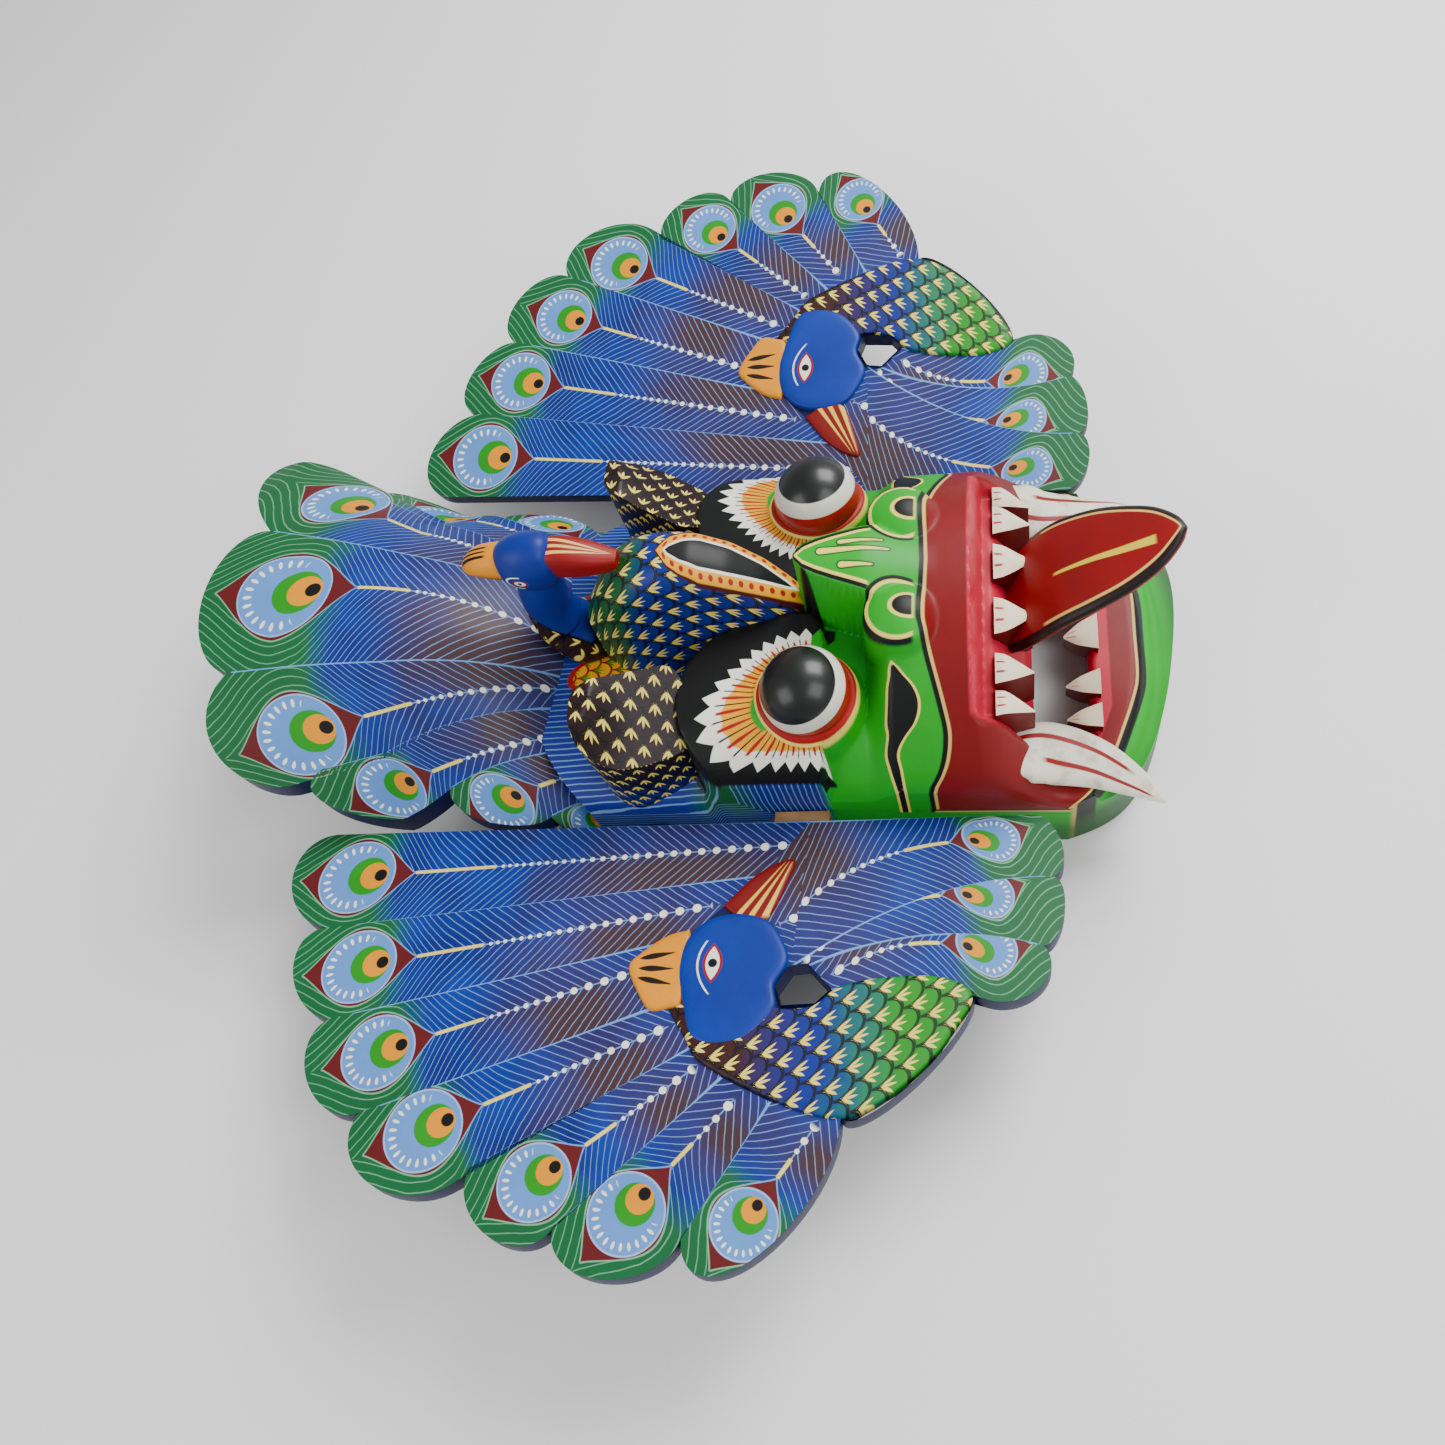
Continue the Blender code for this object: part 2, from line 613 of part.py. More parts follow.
for old in list(bpy.data.objects):
    bpy.data.objects.remove(old, do_unlink=True)

carved_head(material("face_paint", (0.02, 0.16, 0.07), 0.42))
panel("right_panel", -1, material("right_panel_paint", (0.01, 0.05, 0.22), 0.42))
panel("left_panel", 1, material("left_panel_paint", (0.01, 0.05, 0.22), 0.42))
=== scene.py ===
# %% [markdown]
# A rakshasa mask is carved from light wood and painted with enamel. The CAD
# model gives three solids: the head with its fan, and one board at each side.
# Here each gets its finer carving and its painting. The painting is worked out
# as smooth fields on the surfaces, such as the distance along a feather, and
# the materials turn those fields into crisp lines and dots.

# %% Load the frame
from functools import reduce

import bpy
import numpy as np
from mathutils import Matrix


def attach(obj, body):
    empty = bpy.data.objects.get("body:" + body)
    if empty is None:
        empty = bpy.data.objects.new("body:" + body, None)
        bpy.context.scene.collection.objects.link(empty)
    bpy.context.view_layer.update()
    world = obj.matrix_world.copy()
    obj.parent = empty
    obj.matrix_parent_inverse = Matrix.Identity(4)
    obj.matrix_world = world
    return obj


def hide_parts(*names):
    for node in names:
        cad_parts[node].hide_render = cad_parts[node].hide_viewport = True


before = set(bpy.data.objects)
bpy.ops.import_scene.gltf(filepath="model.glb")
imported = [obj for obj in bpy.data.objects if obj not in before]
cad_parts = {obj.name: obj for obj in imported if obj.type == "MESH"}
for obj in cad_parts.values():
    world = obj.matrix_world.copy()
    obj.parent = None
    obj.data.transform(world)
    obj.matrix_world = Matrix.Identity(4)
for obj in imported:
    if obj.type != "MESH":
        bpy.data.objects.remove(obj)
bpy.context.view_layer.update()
MM = 0.001
DOWN = (0, 0, -1)


# %% [markdown]
# Every surface below is a grid of points in millimetres. Two helpers turn such
# grids into one mesh: the first orients a patch, the second joins patches and
# stores their fields as attributes. Patches keep their own edge points, so a
# field may jump from one feather to the next without a smear between them.

# %% Mesh helpers
def grid_quads(rows, columns, wrap=False):
    """Quads between neighbouring points of a grid, closed across its columns if it wraps."""
    number = np.arange(rows * columns).reshape(rows, columns)
    if wrap:
        number = np.hstack([number, number[:, :1]])
    corners = (number[:-1, :-1], number[1:, :-1], number[1:, 1:], number[:-1, 1:])
    return np.stack(corners, -1).reshape(-1, 4)


def patch(points, wrap=False, away=None, up=(0, 0, 1), inward=False, keep=None, paint=0, **fields):
    """A grid of points whose faces look along up or away from a point, or the other way if inward."""
    points = np.asarray(points, float)
    grid = points.shape[:2]
    quads = grid_quads(*grid, wrap)
    flat = points.reshape(-1, 3)
    if keep is not None:
        quads = quads[keep.reshape(-1)[quads].all(axis=1)]
    a, b, c, d = (flat[quads[:, corner]] for corner in range(4))
    normal = np.cross(c - a, d - b)
    toward = np.asarray(up, float) if away is None else (a + b + c + d) / 4 - np.asarray(away, float)
    if ((normal * toward).sum() < 0) != inward:
        quads = quads[:, ::-1]
    _, first, same = np.unique(np.round(flat, 3), axis=0, return_index=True, return_inverse=True)
    fields = {name: np.broadcast_to(value, grid).reshape(-1)[first] for name, value in fields.items()}
    return {"points": flat[first], "quads": same.reshape(-1)[quads], "paint": paint, "fields": fields}


def link(name, data):
    """A new object in the scene."""
    made = bpy.data.objects.new(name, data)
    bpy.context.scene.collection.objects.link(made)
    return made


def piece(name, patches, paints, node="carved_head", sharp=38):
    """One object in metres from patches, each with the number of its paint."""
    points = np.concatenate([one["points"] for one in patches]) * MM
    faces, paint_of, start = [], [], 0
    for one in patches:
        corners = [list(dict.fromkeys(quad)) for quad in (one["quads"] + start).tolist()]
        whole = [face for face in corners if len(face) > 2]
        faces += whole
        paint_of += [one["paint"]] * len(whole)
        start += len(one["points"])
    mesh = bpy.data.meshes.new(name)
    mesh.from_pydata(points.tolist(), [], faces)
    mesh.update()
    for field_name in sorted({key for one in patches for key in one["fields"]}):
        values = [one["fields"].get(field_name, np.zeros(len(one["points"]))) for one in patches]
        stored = mesh.attributes.new(field_name, "FLOAT", "POINT")
        stored.data.foreach_set("value", np.concatenate(values).astype(np.float32))
    for paint in paints:
        mesh.materials.append(paint)
    mesh.polygons.foreach_set("material_index", np.array(paint_of, np.int32))
    mesh.shade_smooth()
    mesh.set_sharp_from_angle(angle=np.radians(sharp))
    made = link(name, mesh)
    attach(made, "root")
    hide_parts(node)
    print(name, len(points), "points", len(faces), "faces")


def ease(start, end, value):
    """A smooth step from 0 at start to 1 at end."""
    share = np.clip((value - start) / (end - start), 0, 1)
    return share * share * (3 - 2 * share)


def mix(first, second, share):
    return first + (second - first) * share


def smooth_line(points, count):
    """A Catmull-Rom curve through the points, read at even steps of its parameter."""
    points = np.asarray(points, float)
    ends = np.concatenate([[2 * points[0] - points[1]], points, [2 * points[-1] - points[-2]]])
    place = np.linspace(0, len(points) - 1, count)
    part = np.minimum(place.astype(int), len(points) - 2)
    t = (place - part).reshape(-1, *[1] * (points.ndim - 1))
    a, b, c, d = (ends[part + step] for step in range(4))
    return b + 0.5 * t * (c - a + t * (2 * a - 5 * b + 4 * c - d + t * (3 * (b - c) + d - a)))


# %% [markdown]
# A painted line is a place where a field is close to a value. In nodes that is
# a chain of Math nodes, which is slow to read. The small class below lets the
# chains be written as ordinary arithmetic, and each operation adds one node.

# %% Arithmetic that writes nodes
class Wire:
    """A value in a node tree that can be used in arithmetic."""

    def __init__(self, tree, socket):
        self.tree = tree
        self.socket = socket

    def __add__(self, other):
        return calc("ADD", self, other)

    def __sub__(self, other):
        return calc("SUBTRACT", self, other)

    def __mul__(self, other):
        return calc("MULTIPLY", self, other)

    def __truediv__(self, other):
        return calc("DIVIDE", self, other)

    def __rsub__(self, other):
        return calc("SUBTRACT", other, self)

    def __rtruediv__(self, other):
        return calc("DIVIDE", other, self)

    def __neg__(self):
        return calc("MULTIPLY", self, -1.0)

    __radd__ = __add__
    __rmul__ = __mul__


def plug(tree, slot, value):
    """Links a wire to a socket, or sets the socket to a number or a colour."""
    if isinstance(value, Wire):
        tree.links.new(value.socket, slot)
    elif isinstance(value, tuple):
        slot.default_value = (*value, 1)
    else:
        slot.default_value = value


def calc(operation, *values):
    tree = next(value.tree for value in values if isinstance(value, Wire))
    node = tree.nodes.new("ShaderNodeMath")
    node.operation = operation
    for slot, value in zip(node.inputs, values):
        plug(tree, slot, value)
    return Wire(tree, node.outputs[0])


def size_of(value):
    return calc("ABSOLUTE", value)


def fraction(value):
    return calc("FRACT", value)


def least(first, second):
    return calc("MINIMUM", first, second)


def most(first, second):
    return calc("MAXIMUM", first, second)


def reach_of(first, second):
    """The length of a step of first and second at right angles."""
    return calc("SQRT", first * first + second * second)


def under(value, edge, soft=0.12):
    """1 where the value is under the edge, 0 over it, with a soft border."""
    gap = value - edge
    node = value.tree.nodes.new("ShaderNodeMapRange")
    plug(value.tree, node.inputs["Value"], gap)
    node.inputs["From Min"].default_value = -soft
    node.inputs["From Max"].default_value = soft
    node.inputs["To Min"].default_value = 1
    node.inputs["To Max"].default_value = 0
    return Wire(value.tree, node.outputs["Result"])


def over(value, edge, soft=0.12):
    return 1.0 - under(value, edge, soft)


def between(value, low, high, soft=0.12):
    return over(value, low, soft) * under(value, high, soft)


def blend(share, first, second):
    """The first colour where share is 0, the second where it is 1."""
    tree = share.tree
    node = tree.nodes.new("ShaderNodeMix")
    node.data_type = "RGBA"
    plug(tree, node.inputs[0], share)
    plug(tree, node.inputs[6], first)
    plug(tree, node.inputs[7], second)
    return Wire(tree, node.outputs[2])


def lay(ground, *coats):
    """Coats of paint over a ground, laid in order, each a share and a colour."""
    return reduce(lambda colour, coat: blend(coat[0], colour, coat[1]), coats, ground)


def field(tree, name):
    """A field that the mesh carries, by its attribute's name."""
    node = tree.nodes.new("ShaderNodeAttribute")
    node.attribute_name = name
    return Wire(tree, node.outputs["Fac"])


def read(tree, *names):
    return [field(tree, name) for name in names]


def place(tree):
    """Object coordinates in millimetres."""
    node = tree.nodes.new("ShaderNodeSeparateXYZ")
    tree.links.new(tree.nodes.new("ShaderNodeTexCoord").outputs["Object"], node.inputs[0])
    return [Wire(tree, socket) * 1000.0 for socket in node.outputs]


def noise(tree, scale, detail=3.0):
    """Soft noise on object coordinates, about 0.5, with spots of about 1/scale metres."""
    node = tree.nodes.new("ShaderNodeTexNoise")
    tree.links.new(tree.nodes.new("ShaderNodeTexCoord").outputs["Object"], node.inputs["Vector"])
    node.inputs["Scale"].default_value = scale
    node.inputs["Detail"].default_value = detail
    return Wire(tree, node.outputs["Fac"])


def hue(code):
    """A colour as seen on a screen, in linear light and a little deeper, since studio light pales it."""
    values = [int(code[at:at + 2], 16) / 255 for at in (0, 2, 4)]
    return tuple(float(value) ** 2.85 for value in values)


# %% [markdown]
# The enamels, read from the photograph.

# %% Colours
BLUE, DEEP_BLUE, NAVY = hue("164ba4"), hue("10307f"), hue("0e2158")
SKY, BARB, BROWN = hue("7eaae0"), hue("8fb0dd"), hue("5a4247")
TIP_GREEN, TIP_LINE, LENS = hue("23744a"), hue("86bd9c"), hue("74272a")
LEAF, YELLOW, CREAM = hue("2f9c28"), hue("e6a000"), hue("f4e27c")
WHITE, BLACK, RED = hue("f6f5ea"), hue("15171a"), hue("8e0f18")
# FACE_DARK is a deep green, used for the outline of the nose strokes and also as painted shade low on the
# head.
FACE, FACE_DARK, GOLD = hue("18b232"), hue("0d6a1f"), hue("e2c578")
PINK, ORANGE, DARK_RED = hue("c8344f"), hue("f0b41e"), hue("7a0f12")
BIRD_BLUE, BIRD_GREEN, BIRD_BROWN = hue("123c96"), hue("1f6c3c"), hue("442325")
RAW_WOOD, DARK_WOOD = hue("c9a77a"), hue("6b4a31")


# %% [markdown]
# All the enamel was laid on with a brush over sanded wood, so its tone wanders
# a little, its gloss is uneven and faint strokes and grain stand in it. One
# node group gives that to every paint, so the pieces look like one object.

# %% The coat of enamel
def new_group(name, numbers=(), colours=(), outputs=()):
    """A shader node group with named number and colour inputs."""
    group = bpy.data.node_groups.new(name, "ShaderNodeTree")
    for title in numbers:
        group.interface.new_socket(title, in_out="INPUT", socket_type="NodeSocketFloat")
    for title in colours:
        group.interface.new_socket(title, in_out="INPUT", socket_type="NodeSocketColor")
    for title, kind in outputs:
        group.interface.new_socket(title, in_out="OUTPUT", socket_type="NodeSocket" + kind)
    source = group.nodes.new("NodeGroupInput")
    wires = {title: Wire(group, source.outputs[title]) for title in (*numbers, *colours)}
    return group, wires, group.nodes.new("NodeGroupOutput")


def use_group(tree, group, **values):
    """The group's outputs by name, with its inputs linked or set."""
    node = tree.nodes.new("ShaderNodeGroup")
    node.node_tree = group
    for title, value in values.items():
        plug(tree, node.inputs[title], value)
    return {socket.name: Wire(tree, socket) for socket in node.outputs}


def make_coat():
    group, wires, end = new_group(
        "enamel_coat", ("Wear",), ("Colour",),
        (("Colour", "Color"), ("Roughness", "Float"), ("Height", "Float")),
    )
    cloud = noise(group, 26, 4)
    streak = noise(group, 170, 5)
    speck = noise(group, 700, 2)
    tone = 0.82 + cloud * 0.3 + streak * 0.08
    colour = group.nodes.new("ShaderNodeVectorMath")
    colour.operation = "SCALE"
    plug(group, colour.inputs[0], wires["Colour"])
    plug(group, colour.inputs["Scale"], tone)
    worn = over(speck, 0.74, 0.03) * wires["Wear"]
    tinted = blend(worn, Wire(group, colour.outputs[0]), DARK_WOOD)
    plug(group, end.inputs["Colour"], tinted)
    plug(group, end.inputs["Roughness"], 0.36 + cloud * 0.16 + streak * 0.1)
    plug(group, end.inputs["Height"], streak * 0.7 + speck * 0.3)
    return group


COAT = make_coat()


def enamel(name, paint, wear=0.35, coat=0.06, bump=0.12):
    """A material whose colour comes from paint(tree), under the coat of enamel."""
    made = bpy.data.materials.new(name)
    made.use_nodes = True
    tree = made.node_tree
    shader = tree.nodes["Principled BSDF"]
    colour = paint(tree) if callable(paint) else paint
    coated = use_group(tree, COAT, Colour=colour, Wear=wear)
    plug(tree, shader.inputs["Base Color"], coated["Colour"])
    plug(tree, shader.inputs["Roughness"], coated["Roughness"])
    shader.inputs["Coat Weight"].default_value = coat
    shader.inputs["Coat Roughness"].default_value = 0.25
    shader.inputs["Specular IOR Level"].default_value = 0.3
    raised = tree.nodes.new("ShaderNodeBump")
    raised.inputs["Strength"].default_value = bump
    raised.inputs["Distance"].default_value = 0.0006
    plug(tree, raised.inputs["Height"], coated["Height"])
    tree.links.new(raised.outputs["Normal"], shader.inputs["Normal"])
    return made


navy_edge = enamel("navy_edge", NAVY, wear=0.8)
raw_wood = enamel(
    "bare_wood", lambda tree: blend(noise(tree, 90, 6), RAW_WOOD, DARK_WOOD), coat=0.0, bump=0.5,
)
print("coat of enamel ready")


# %% [markdown]
# A peacock feather is painted the same way twenty-nine times. Each patch
# carries five fields: Along runs in millimetres from the middle of the eye
# towards the root, Across is the distance from the shaft, Length and Radius
# are the feather's own sizes and Border is the distance to its neighbour.

# %% The feather painting
FEATHER_FIELDS = ("Along", "Across", "Length", "Radius", "Border")


def make_feather_paint():
    group, wires, end = new_group("feather_paint", FEATHER_FIELDS, (), (("Colour", "Color"),))
    along, across, length, radius, border = (wires[title] for title in FEATHER_FIELDS)
    off = size_of(across)
    cloud = noise(group, 34, 3)
    hand = (noise(group, 120, 2) - 0.5) * 1.6
    cusp = radius * 1.56
    # The ground: blue, brown towards the root, green round the eye.
    share = along / length
    brown = over(share + cloud * 0.3, 0.66, 0.16) * under(share, 1.02, 0.16)
    brown = brown * (0.4 + 0.6 * over(across, 0.0, 5.0))
    green = under(along / radius + (cloud - 0.5), 0.95, 0.35)
    colour = lay(BLUE, (over(cloud, 0.5, 0.2), DEEP_BLUE), (brown, BROWN), (green, TIP_GREEN))
    # Barbs slope from the shaft towards the tip and bend to flow round the eye.
    wave = 0.5 + 0.5 * calc("COSINE", least(size_of(along), cusp) * 3.1416 / cusp)
    half = radius * 1.1 * calc("POWER", most(wave, 0.0), 0.6)
    gap = off - half
    swell = 0.5 + 0.5 * calc("COSINE", least(size_of(along) / radius, 2.4) * 1.309)
    ahead = most(along - radius * 0.55, 0.0)
    slope = ahead * ahead / (ahead + radius * 0.45) * 1.12
    flow = (off * 1.2 - swell * radius * 1.35 + slope + hand) / 5.6
    lines = under(size_of(fraction(flow) - 0.5), 0.062, 0.03) * over(gap, 0.4, 0.3) * (0.5 + cloud * 0.4)
    colour = lay(colour, (lines, blend(green, BARB, TIP_LINE)), (under(border, 0.55, 0.2), SKY))
    # The shaft, its dots that grow towards the root, and its yellow dash.
    shaft = under(off, 0.3, 0.15) * over(along, cusp, 0.5) * under(along, length, 0.5)
    dash_end = cusp + length * 0.19
    first = dash_end + 2.5
    step = 5.6 / (length - first)
    run = most(along - first, 0.0)
    pitch = 3.4 + step * run
    number = calc("LOGARITHM", 1.0 + step * run / 3.4, 2.718282) / step
    dot = reach_of((fraction(number) - 0.5) * pitch, across) - pitch * 0.25
    dots = under(dot, 0.0, 0.15) * over(along, first, 0.2) * under(along, length, 1.0)
    dash = reach_of(most(along - dash_end, 0.0) + most(cusp + 1.0 - along, 0.0), across)
    colour = lay(colour, (shaft, SKY), (dots, WHITE), (under(dash, 0.85, 0.2), CREAM))
    # The eye: lens, pale disc with white ticks, green, yellow and pupil.
    within = under(size_of(along), cusp, 0.3)
    disc = reach_of(along, across)
    turn = calc("ARCTAN2", across, -along)
    tick = reach_of((disc / radius - 0.79) / 0.1, (fraction(turn / 0.27) - 0.5) / 0.19)
    colour = lay(
        colour,
        (under(gap, 0.6, 0.2) * within, blend(green, SKY, TIP_LINE)),
        (under(gap, -0.2, 0.2) * within, LENS),
        (under(disc, radius + 0.4, 0.2), hue("a9c6ea")),
        (under(disc, radius - 0.3, 0.25), hue("6f9dd6")),
        (under(tick, 1.0, 0.15) * under(size_of(turn), 2.0, 0.02), WHITE),
    )
    for centre, reach, tint in ((0.3, 0.53, LEAF), (0.47, 0.37, YELLOW), (0.64, 0.165, BLACK)):
        spot = reach_of(along - radius * centre, across) - radius * reach
        colour = blend(under(spot, 0.0, 0.2), colour, tint)
    plug(group, end.inputs["Colour"], colour)
    return group


FEATHER = make_feather_paint()


def feather_colour(tree):
    values = {title: field(tree, title.lower()) for title in FEATHER_FIELDS}
    return use_group(tree, FEATHER, **values)["Colour"]


feather_enamel = enamel("feather_enamel", feather_colour, wear=0.15)
print("feather painting ready")


# %% [markdown]
# Scales are rows of arcs, each row half a step on from the last. A point
# belongs to the arc of its own row if it is inside it, and else to the next
# row. In each scale sit three yellow strokes that open away from the head.

# %% The scale painting
def make_scale_paint():
    group, wires, end = new_group(
        "scale_paint", ("Row", "Column"), (), (("Arc", "Float"), ("Stroke", "Float")),
    )
    row, column = wires["Row"], wires["Column"]
    rise = fraction(row)
    shift = fraction(calc("FLOOR", row) * 0.5)
    near = fraction(column + shift) - 0.5
    far = fraction(column + shift + 0.5) - 0.5
    reach = reach_of(near, rise * 0.56)
    inside = under(reach, 0.5, 0.005)
    side = far + (near - far) * inside
    up = (rise - 1.0 + inside) * 0.56 + 0.3
    strokes = []
    for angle in (-0.6, 0.0, 0.6):
        sine, cosine = float(np.sin(angle)), float(np.cos(angle))
        run = side * sine + up * cosine
        off = size_of(side * cosine - up * sine)
        strokes.append(under(off - run * (1.0 - run / 0.46) * 0.42, 0.0, 0.012))
    plug(group, end.inputs["Arc"], under(size_of(reach - 0.5), 0.055, 0.015))
    plug(group, end.inputs["Stroke"], reduce(most, strokes))
    return group


SCALES = make_scale_paint()


def scales_over(tree, ground, row, column, arc=BLACK):
    marks = use_group(tree, SCALES, Row=row, Column=column)
    return lay(ground, (marks["Arc"] * 0.9, arc), (marks["Stroke"], CREAM))


def scale_colour(near, middle, far, arc=BLACK):
    """Scales whose ground runs from one colour through a second to a third with the field shade."""

    def paint(tree):
        row, column, shade = read(tree, "row", "column", "shade")
        shade = shade + (noise(tree, 60, 2) - 0.5) * 0.25
        ground = lay(near, (over(shade, 0.33, 0.14), middle), (over(shade, 0.66, 0.14), far))
        return scales_over(tree, ground, row, column, arc)

    return paint


wing_enamel = enamel("wing_scales", scale_colour(hue("3a1d22"), hue("1c1c46"), BIRD_BLUE, arc=hue("0c0810")))
board_scales = scale_colour(hue("4e2926"), BIRD_BLUE, LEAF, arc=hue("10101c"))
board_bird_enamel = enamel("board_bird_scales", board_scales)
print("scale painting ready")


# %% [markdown]
# Feathers tile a surface between a chain of valleys on its edge and a chain of
# hubs near the roots. A patch spans four curves: the round tip, two straight
# borders and the hub line. A Coons blend of those curves fills it, so that
# neighbours share their border exactly.

# %% Feather patches
def lobe(start, tip, end, turn):
    """Half an ellipse from start through tip to end, at the turns given."""
    middle = (start + end) / 2
    turn = turn[:, None]
    return middle + (end - start) / 2 * np.sin(turn) + (tip - middle) * np.cos(turn)


def feather_plan(start, tip, end, hub_start, hub_end, rows=36, columns=25, bends=(0, 0)):
    """Plan points by a Coons blend; each border may bow by its bend towards smaller second coordinates."""
    start, tip, end = (np.asarray(p, float) for p in (start, tip, end))
    hub_start, hub_end = np.asarray(hub_start, float), np.asarray(hub_end, float)
    along = np.linspace(0, 1, rows)[:, None, None]
    turn = np.linspace(-np.pi / 2, np.pi / 2, columns)
    across = (0.5 + 0.5 * np.sin(turn))[None, :, None]
    outer = lobe(start, tip, end, turn)[None]
    inner = hub_start + (hub_end - hub_start) * across
    bow = 4 * along * (1 - along) * np.array([0.0, -1.0])
    left = start + (hub_start - start) * along + bow * bends[0]
    right = end + (hub_end - end) * along + bow * bends[1]
    corners = (1 - along) * ((1 - across) * start + across * end)
    corners = corners + along * ((1 - across) * hub_start + across * hub_end)
    return (1 - along) * outer + along * inner + (1 - across) * left + across * right - corners


def feather_fields(flat, eye, root, radius, bend=0.0):
    """Distances on the flattened surface from the eye, a bowed shaft and the nearer border."""
    eye, root = np.asarray(eye, float), np.asarray(root, float)
    length = float(np.linalg.norm(root - eye))
    ahead = (root - eye) / length
    step = flat - eye
    along = step @ ahead
    share = np.clip(along / length, 0, 1)
    across = step[..., 0] * -ahead[1] + step[..., 1] * ahead[0] - bend * 4 * share * (1 - share)
    left = np.linalg.norm(flat - flat[:, :1], axis=-1)
    right = np.linalg.norm(flat - flat[:, -1:], axis=-1)
    inward = np.arange(len(flat))[:, None] > 0
    border = np.where(inward, np.minimum(left, right) * 0.85, 4.0)
    return {"along": along, "across": across, "length": length, "radius": float(radius), "border": border}


# %% [markdown]
# The fan is one vault. Its middle line rises fast from the root and then runs
# level, and across it the surface falls as a parabola. To lay the painting on
# the steep sides without stretch, the fields are measured on the flattened
# surface: the distance across becomes the length of the arc of the parabola.

# %% The fan
FAN_ROOT, FAN_REACH = -50, 197
FAN_RISE, FAN_EASE, FAN_EDGE, FAN_THICK = 88, 58, 40, 9.6
FAN_BEND_PLACES = (-0.2, 0.21, 0.5, 0.7, 0.94)
FAN_BENDS = (0.0025, 0.0045, 0.0067, 0.0042, 0.0025)
FAN_VALLEYS = np.array([(175, 44), (129, 84), (68, 85), (21, 90), (-40, 92)]) / 198 * FAN_REACH
FAN_TIPS = {
    side: np.array([(198, 0), first, (119, 100), (50, 98), (-8, 97)]) / 198 * FAN_REACH
    for side, first in ((1, (194, 108)), (-1, (174, 88)))
}
FAN_HUBS = np.array([(16, 21), (19, 39), (17, 59), (4, 76), (-8, 89)], float)
# The middle feather's eye, the root and bow of its shaft, and then the four pairs.
MIDDLE_EYE, MIDDLE_ROOT, MIDDLE_RADIUS, MIDDLE_BOW = (152, 0), (16.4, -2.2), 24.5, -8.0
FAN_EYES = {
    1: [(147, 75), (101, 84), (43, 87.5), (0, 90)],
    -1: [(136.5, 70.5), (98, 85.5), (43, 88.5), (0, 90)],
}
FAN_ROOTS = [(10.5, 25.4), (16.4, 52), (8.6, 66.6), (0, 80)]
FAN_RADII = {1: (18.58, 15.43, 14.05, 12.5), -1: (20.5, 16.5, 14.5, 12.5)}
# On the steep left side the eyes are painted wider, most of all near the tip.
LEFT_PLACES, LEFT_WIDENING = (70, 90), (0.7, 0.9)


def fan_bend(along):
    return np.interp(along / FAN_REACH, FAN_BEND_PLACES, FAN_BENDS)


def fan_point(plan, sink=0.0):
    """The vault over a plan point, sunk by a share of its thickness measured square to it."""
    along, across = plan[..., 0], plan[..., 1]
    rise = FAN_RISE * np.maximum(1 - np.exp(-along / FAN_EASE), 0.05)
    bend = fan_bend(along)
    thick = sink * np.sqrt(1 + (2 * bend * across) ** 2)
    return np.stack([FAN_ROOT - along, across, FAN_EDGE + rise - bend * across**2 - thick], -1)


def fan_flat(plan):
    """The plan with its distance across replaced by the arc length of the parabola."""
    plan = np.asarray(plan, float)
    slope = 2 * fan_bend(plan[..., 0])
    across = plan[..., 1]
    arc = across / 2 * np.sqrt(1 + (slope * across) ** 2) + np.arcsinh(slope * across) / (2 * slope)
    return np.stack([plan[..., 0], arc], -1)


def fan_feathers():
    """Each feather's two valleys round its tip, its two hubs, its eye, shaft root, eye radius and bow."""
    mirror = np.array((1, -1))
    yield (
        FAN_VALLEYS[0] * mirror, FAN_TIPS[1][0], FAN_VALLEYS[0], FAN_HUBS[0] * mirror, FAN_HUBS[0],
        MIDDLE_EYE, MIDDLE_ROOT, MIDDLE_RADIUS, MIDDLE_BOW,
    )
    for side in (-1, 1):
        flip = np.array((1, side))
        for number in range(4):
            spots = (
                FAN_VALLEYS[number], FAN_TIPS[side][number + 1], FAN_VALLEYS[number + 1],
                FAN_HUBS[number], FAN_HUBS[number + 1], FAN_EYES[side][number], FAN_ROOTS[number],
            )
            yield (*(np.array(spot) * flip for spot in spots), FAN_RADII[side][number], 0.0)


def fan_patches():
    made = []
    for *corners, eye, root, radius, bow in fan_feathers():
        plan = feather_plan(*corners, rows=56, columns=29)
        fields = feather_fields(fan_flat(plan), fan_flat(eye), fan_flat(root), radius, bow)
        if eye[1] < 0:
            fields["across"] = -fields["across"]
        if eye[1] > 0:
            fields["across"] = fields["across"] * np.interp(eye[1], LEFT_PLACES, LEFT_WIDENING)
        top, low = fan_point(plan), fan_point(plan, FAN_THICK)
        rim = np.stack([top[0], mix(top[0], low[0], 0.5), low[0]])
        inside = (top[12, 14] + low[12, 14]) / 2
        made += [patch(top, **fields), patch(low, up=DOWN, paint=1), patch(rim, away=inside, paint=2)]
    for side in (-1, 1):
        line = fan_point(np.linspace(FAN_VALLEYS[-1] * (1, side), FAN_HUBS[-1] * (1, side), 20))
        made.append(patch(np.stack([line, line - (0, 0, 11)]), away=(-100, 0, 60), paint=2))
    return made


under_enamel = enamel("fan_underside", hue("1a2433"), wear=0.9, bump=0.3)
piece("fan_of_feathers", fan_patches(), [feather_enamel, under_enamel, navy_edge])


# %% [markdown]
# The face is a height over its plan. Plateaus for the petalled brows, the nose
# and the lip are blended in with soft steps, as a gouge leaves them. The grid
# is about a millimetre, so that the steps stay crisp.

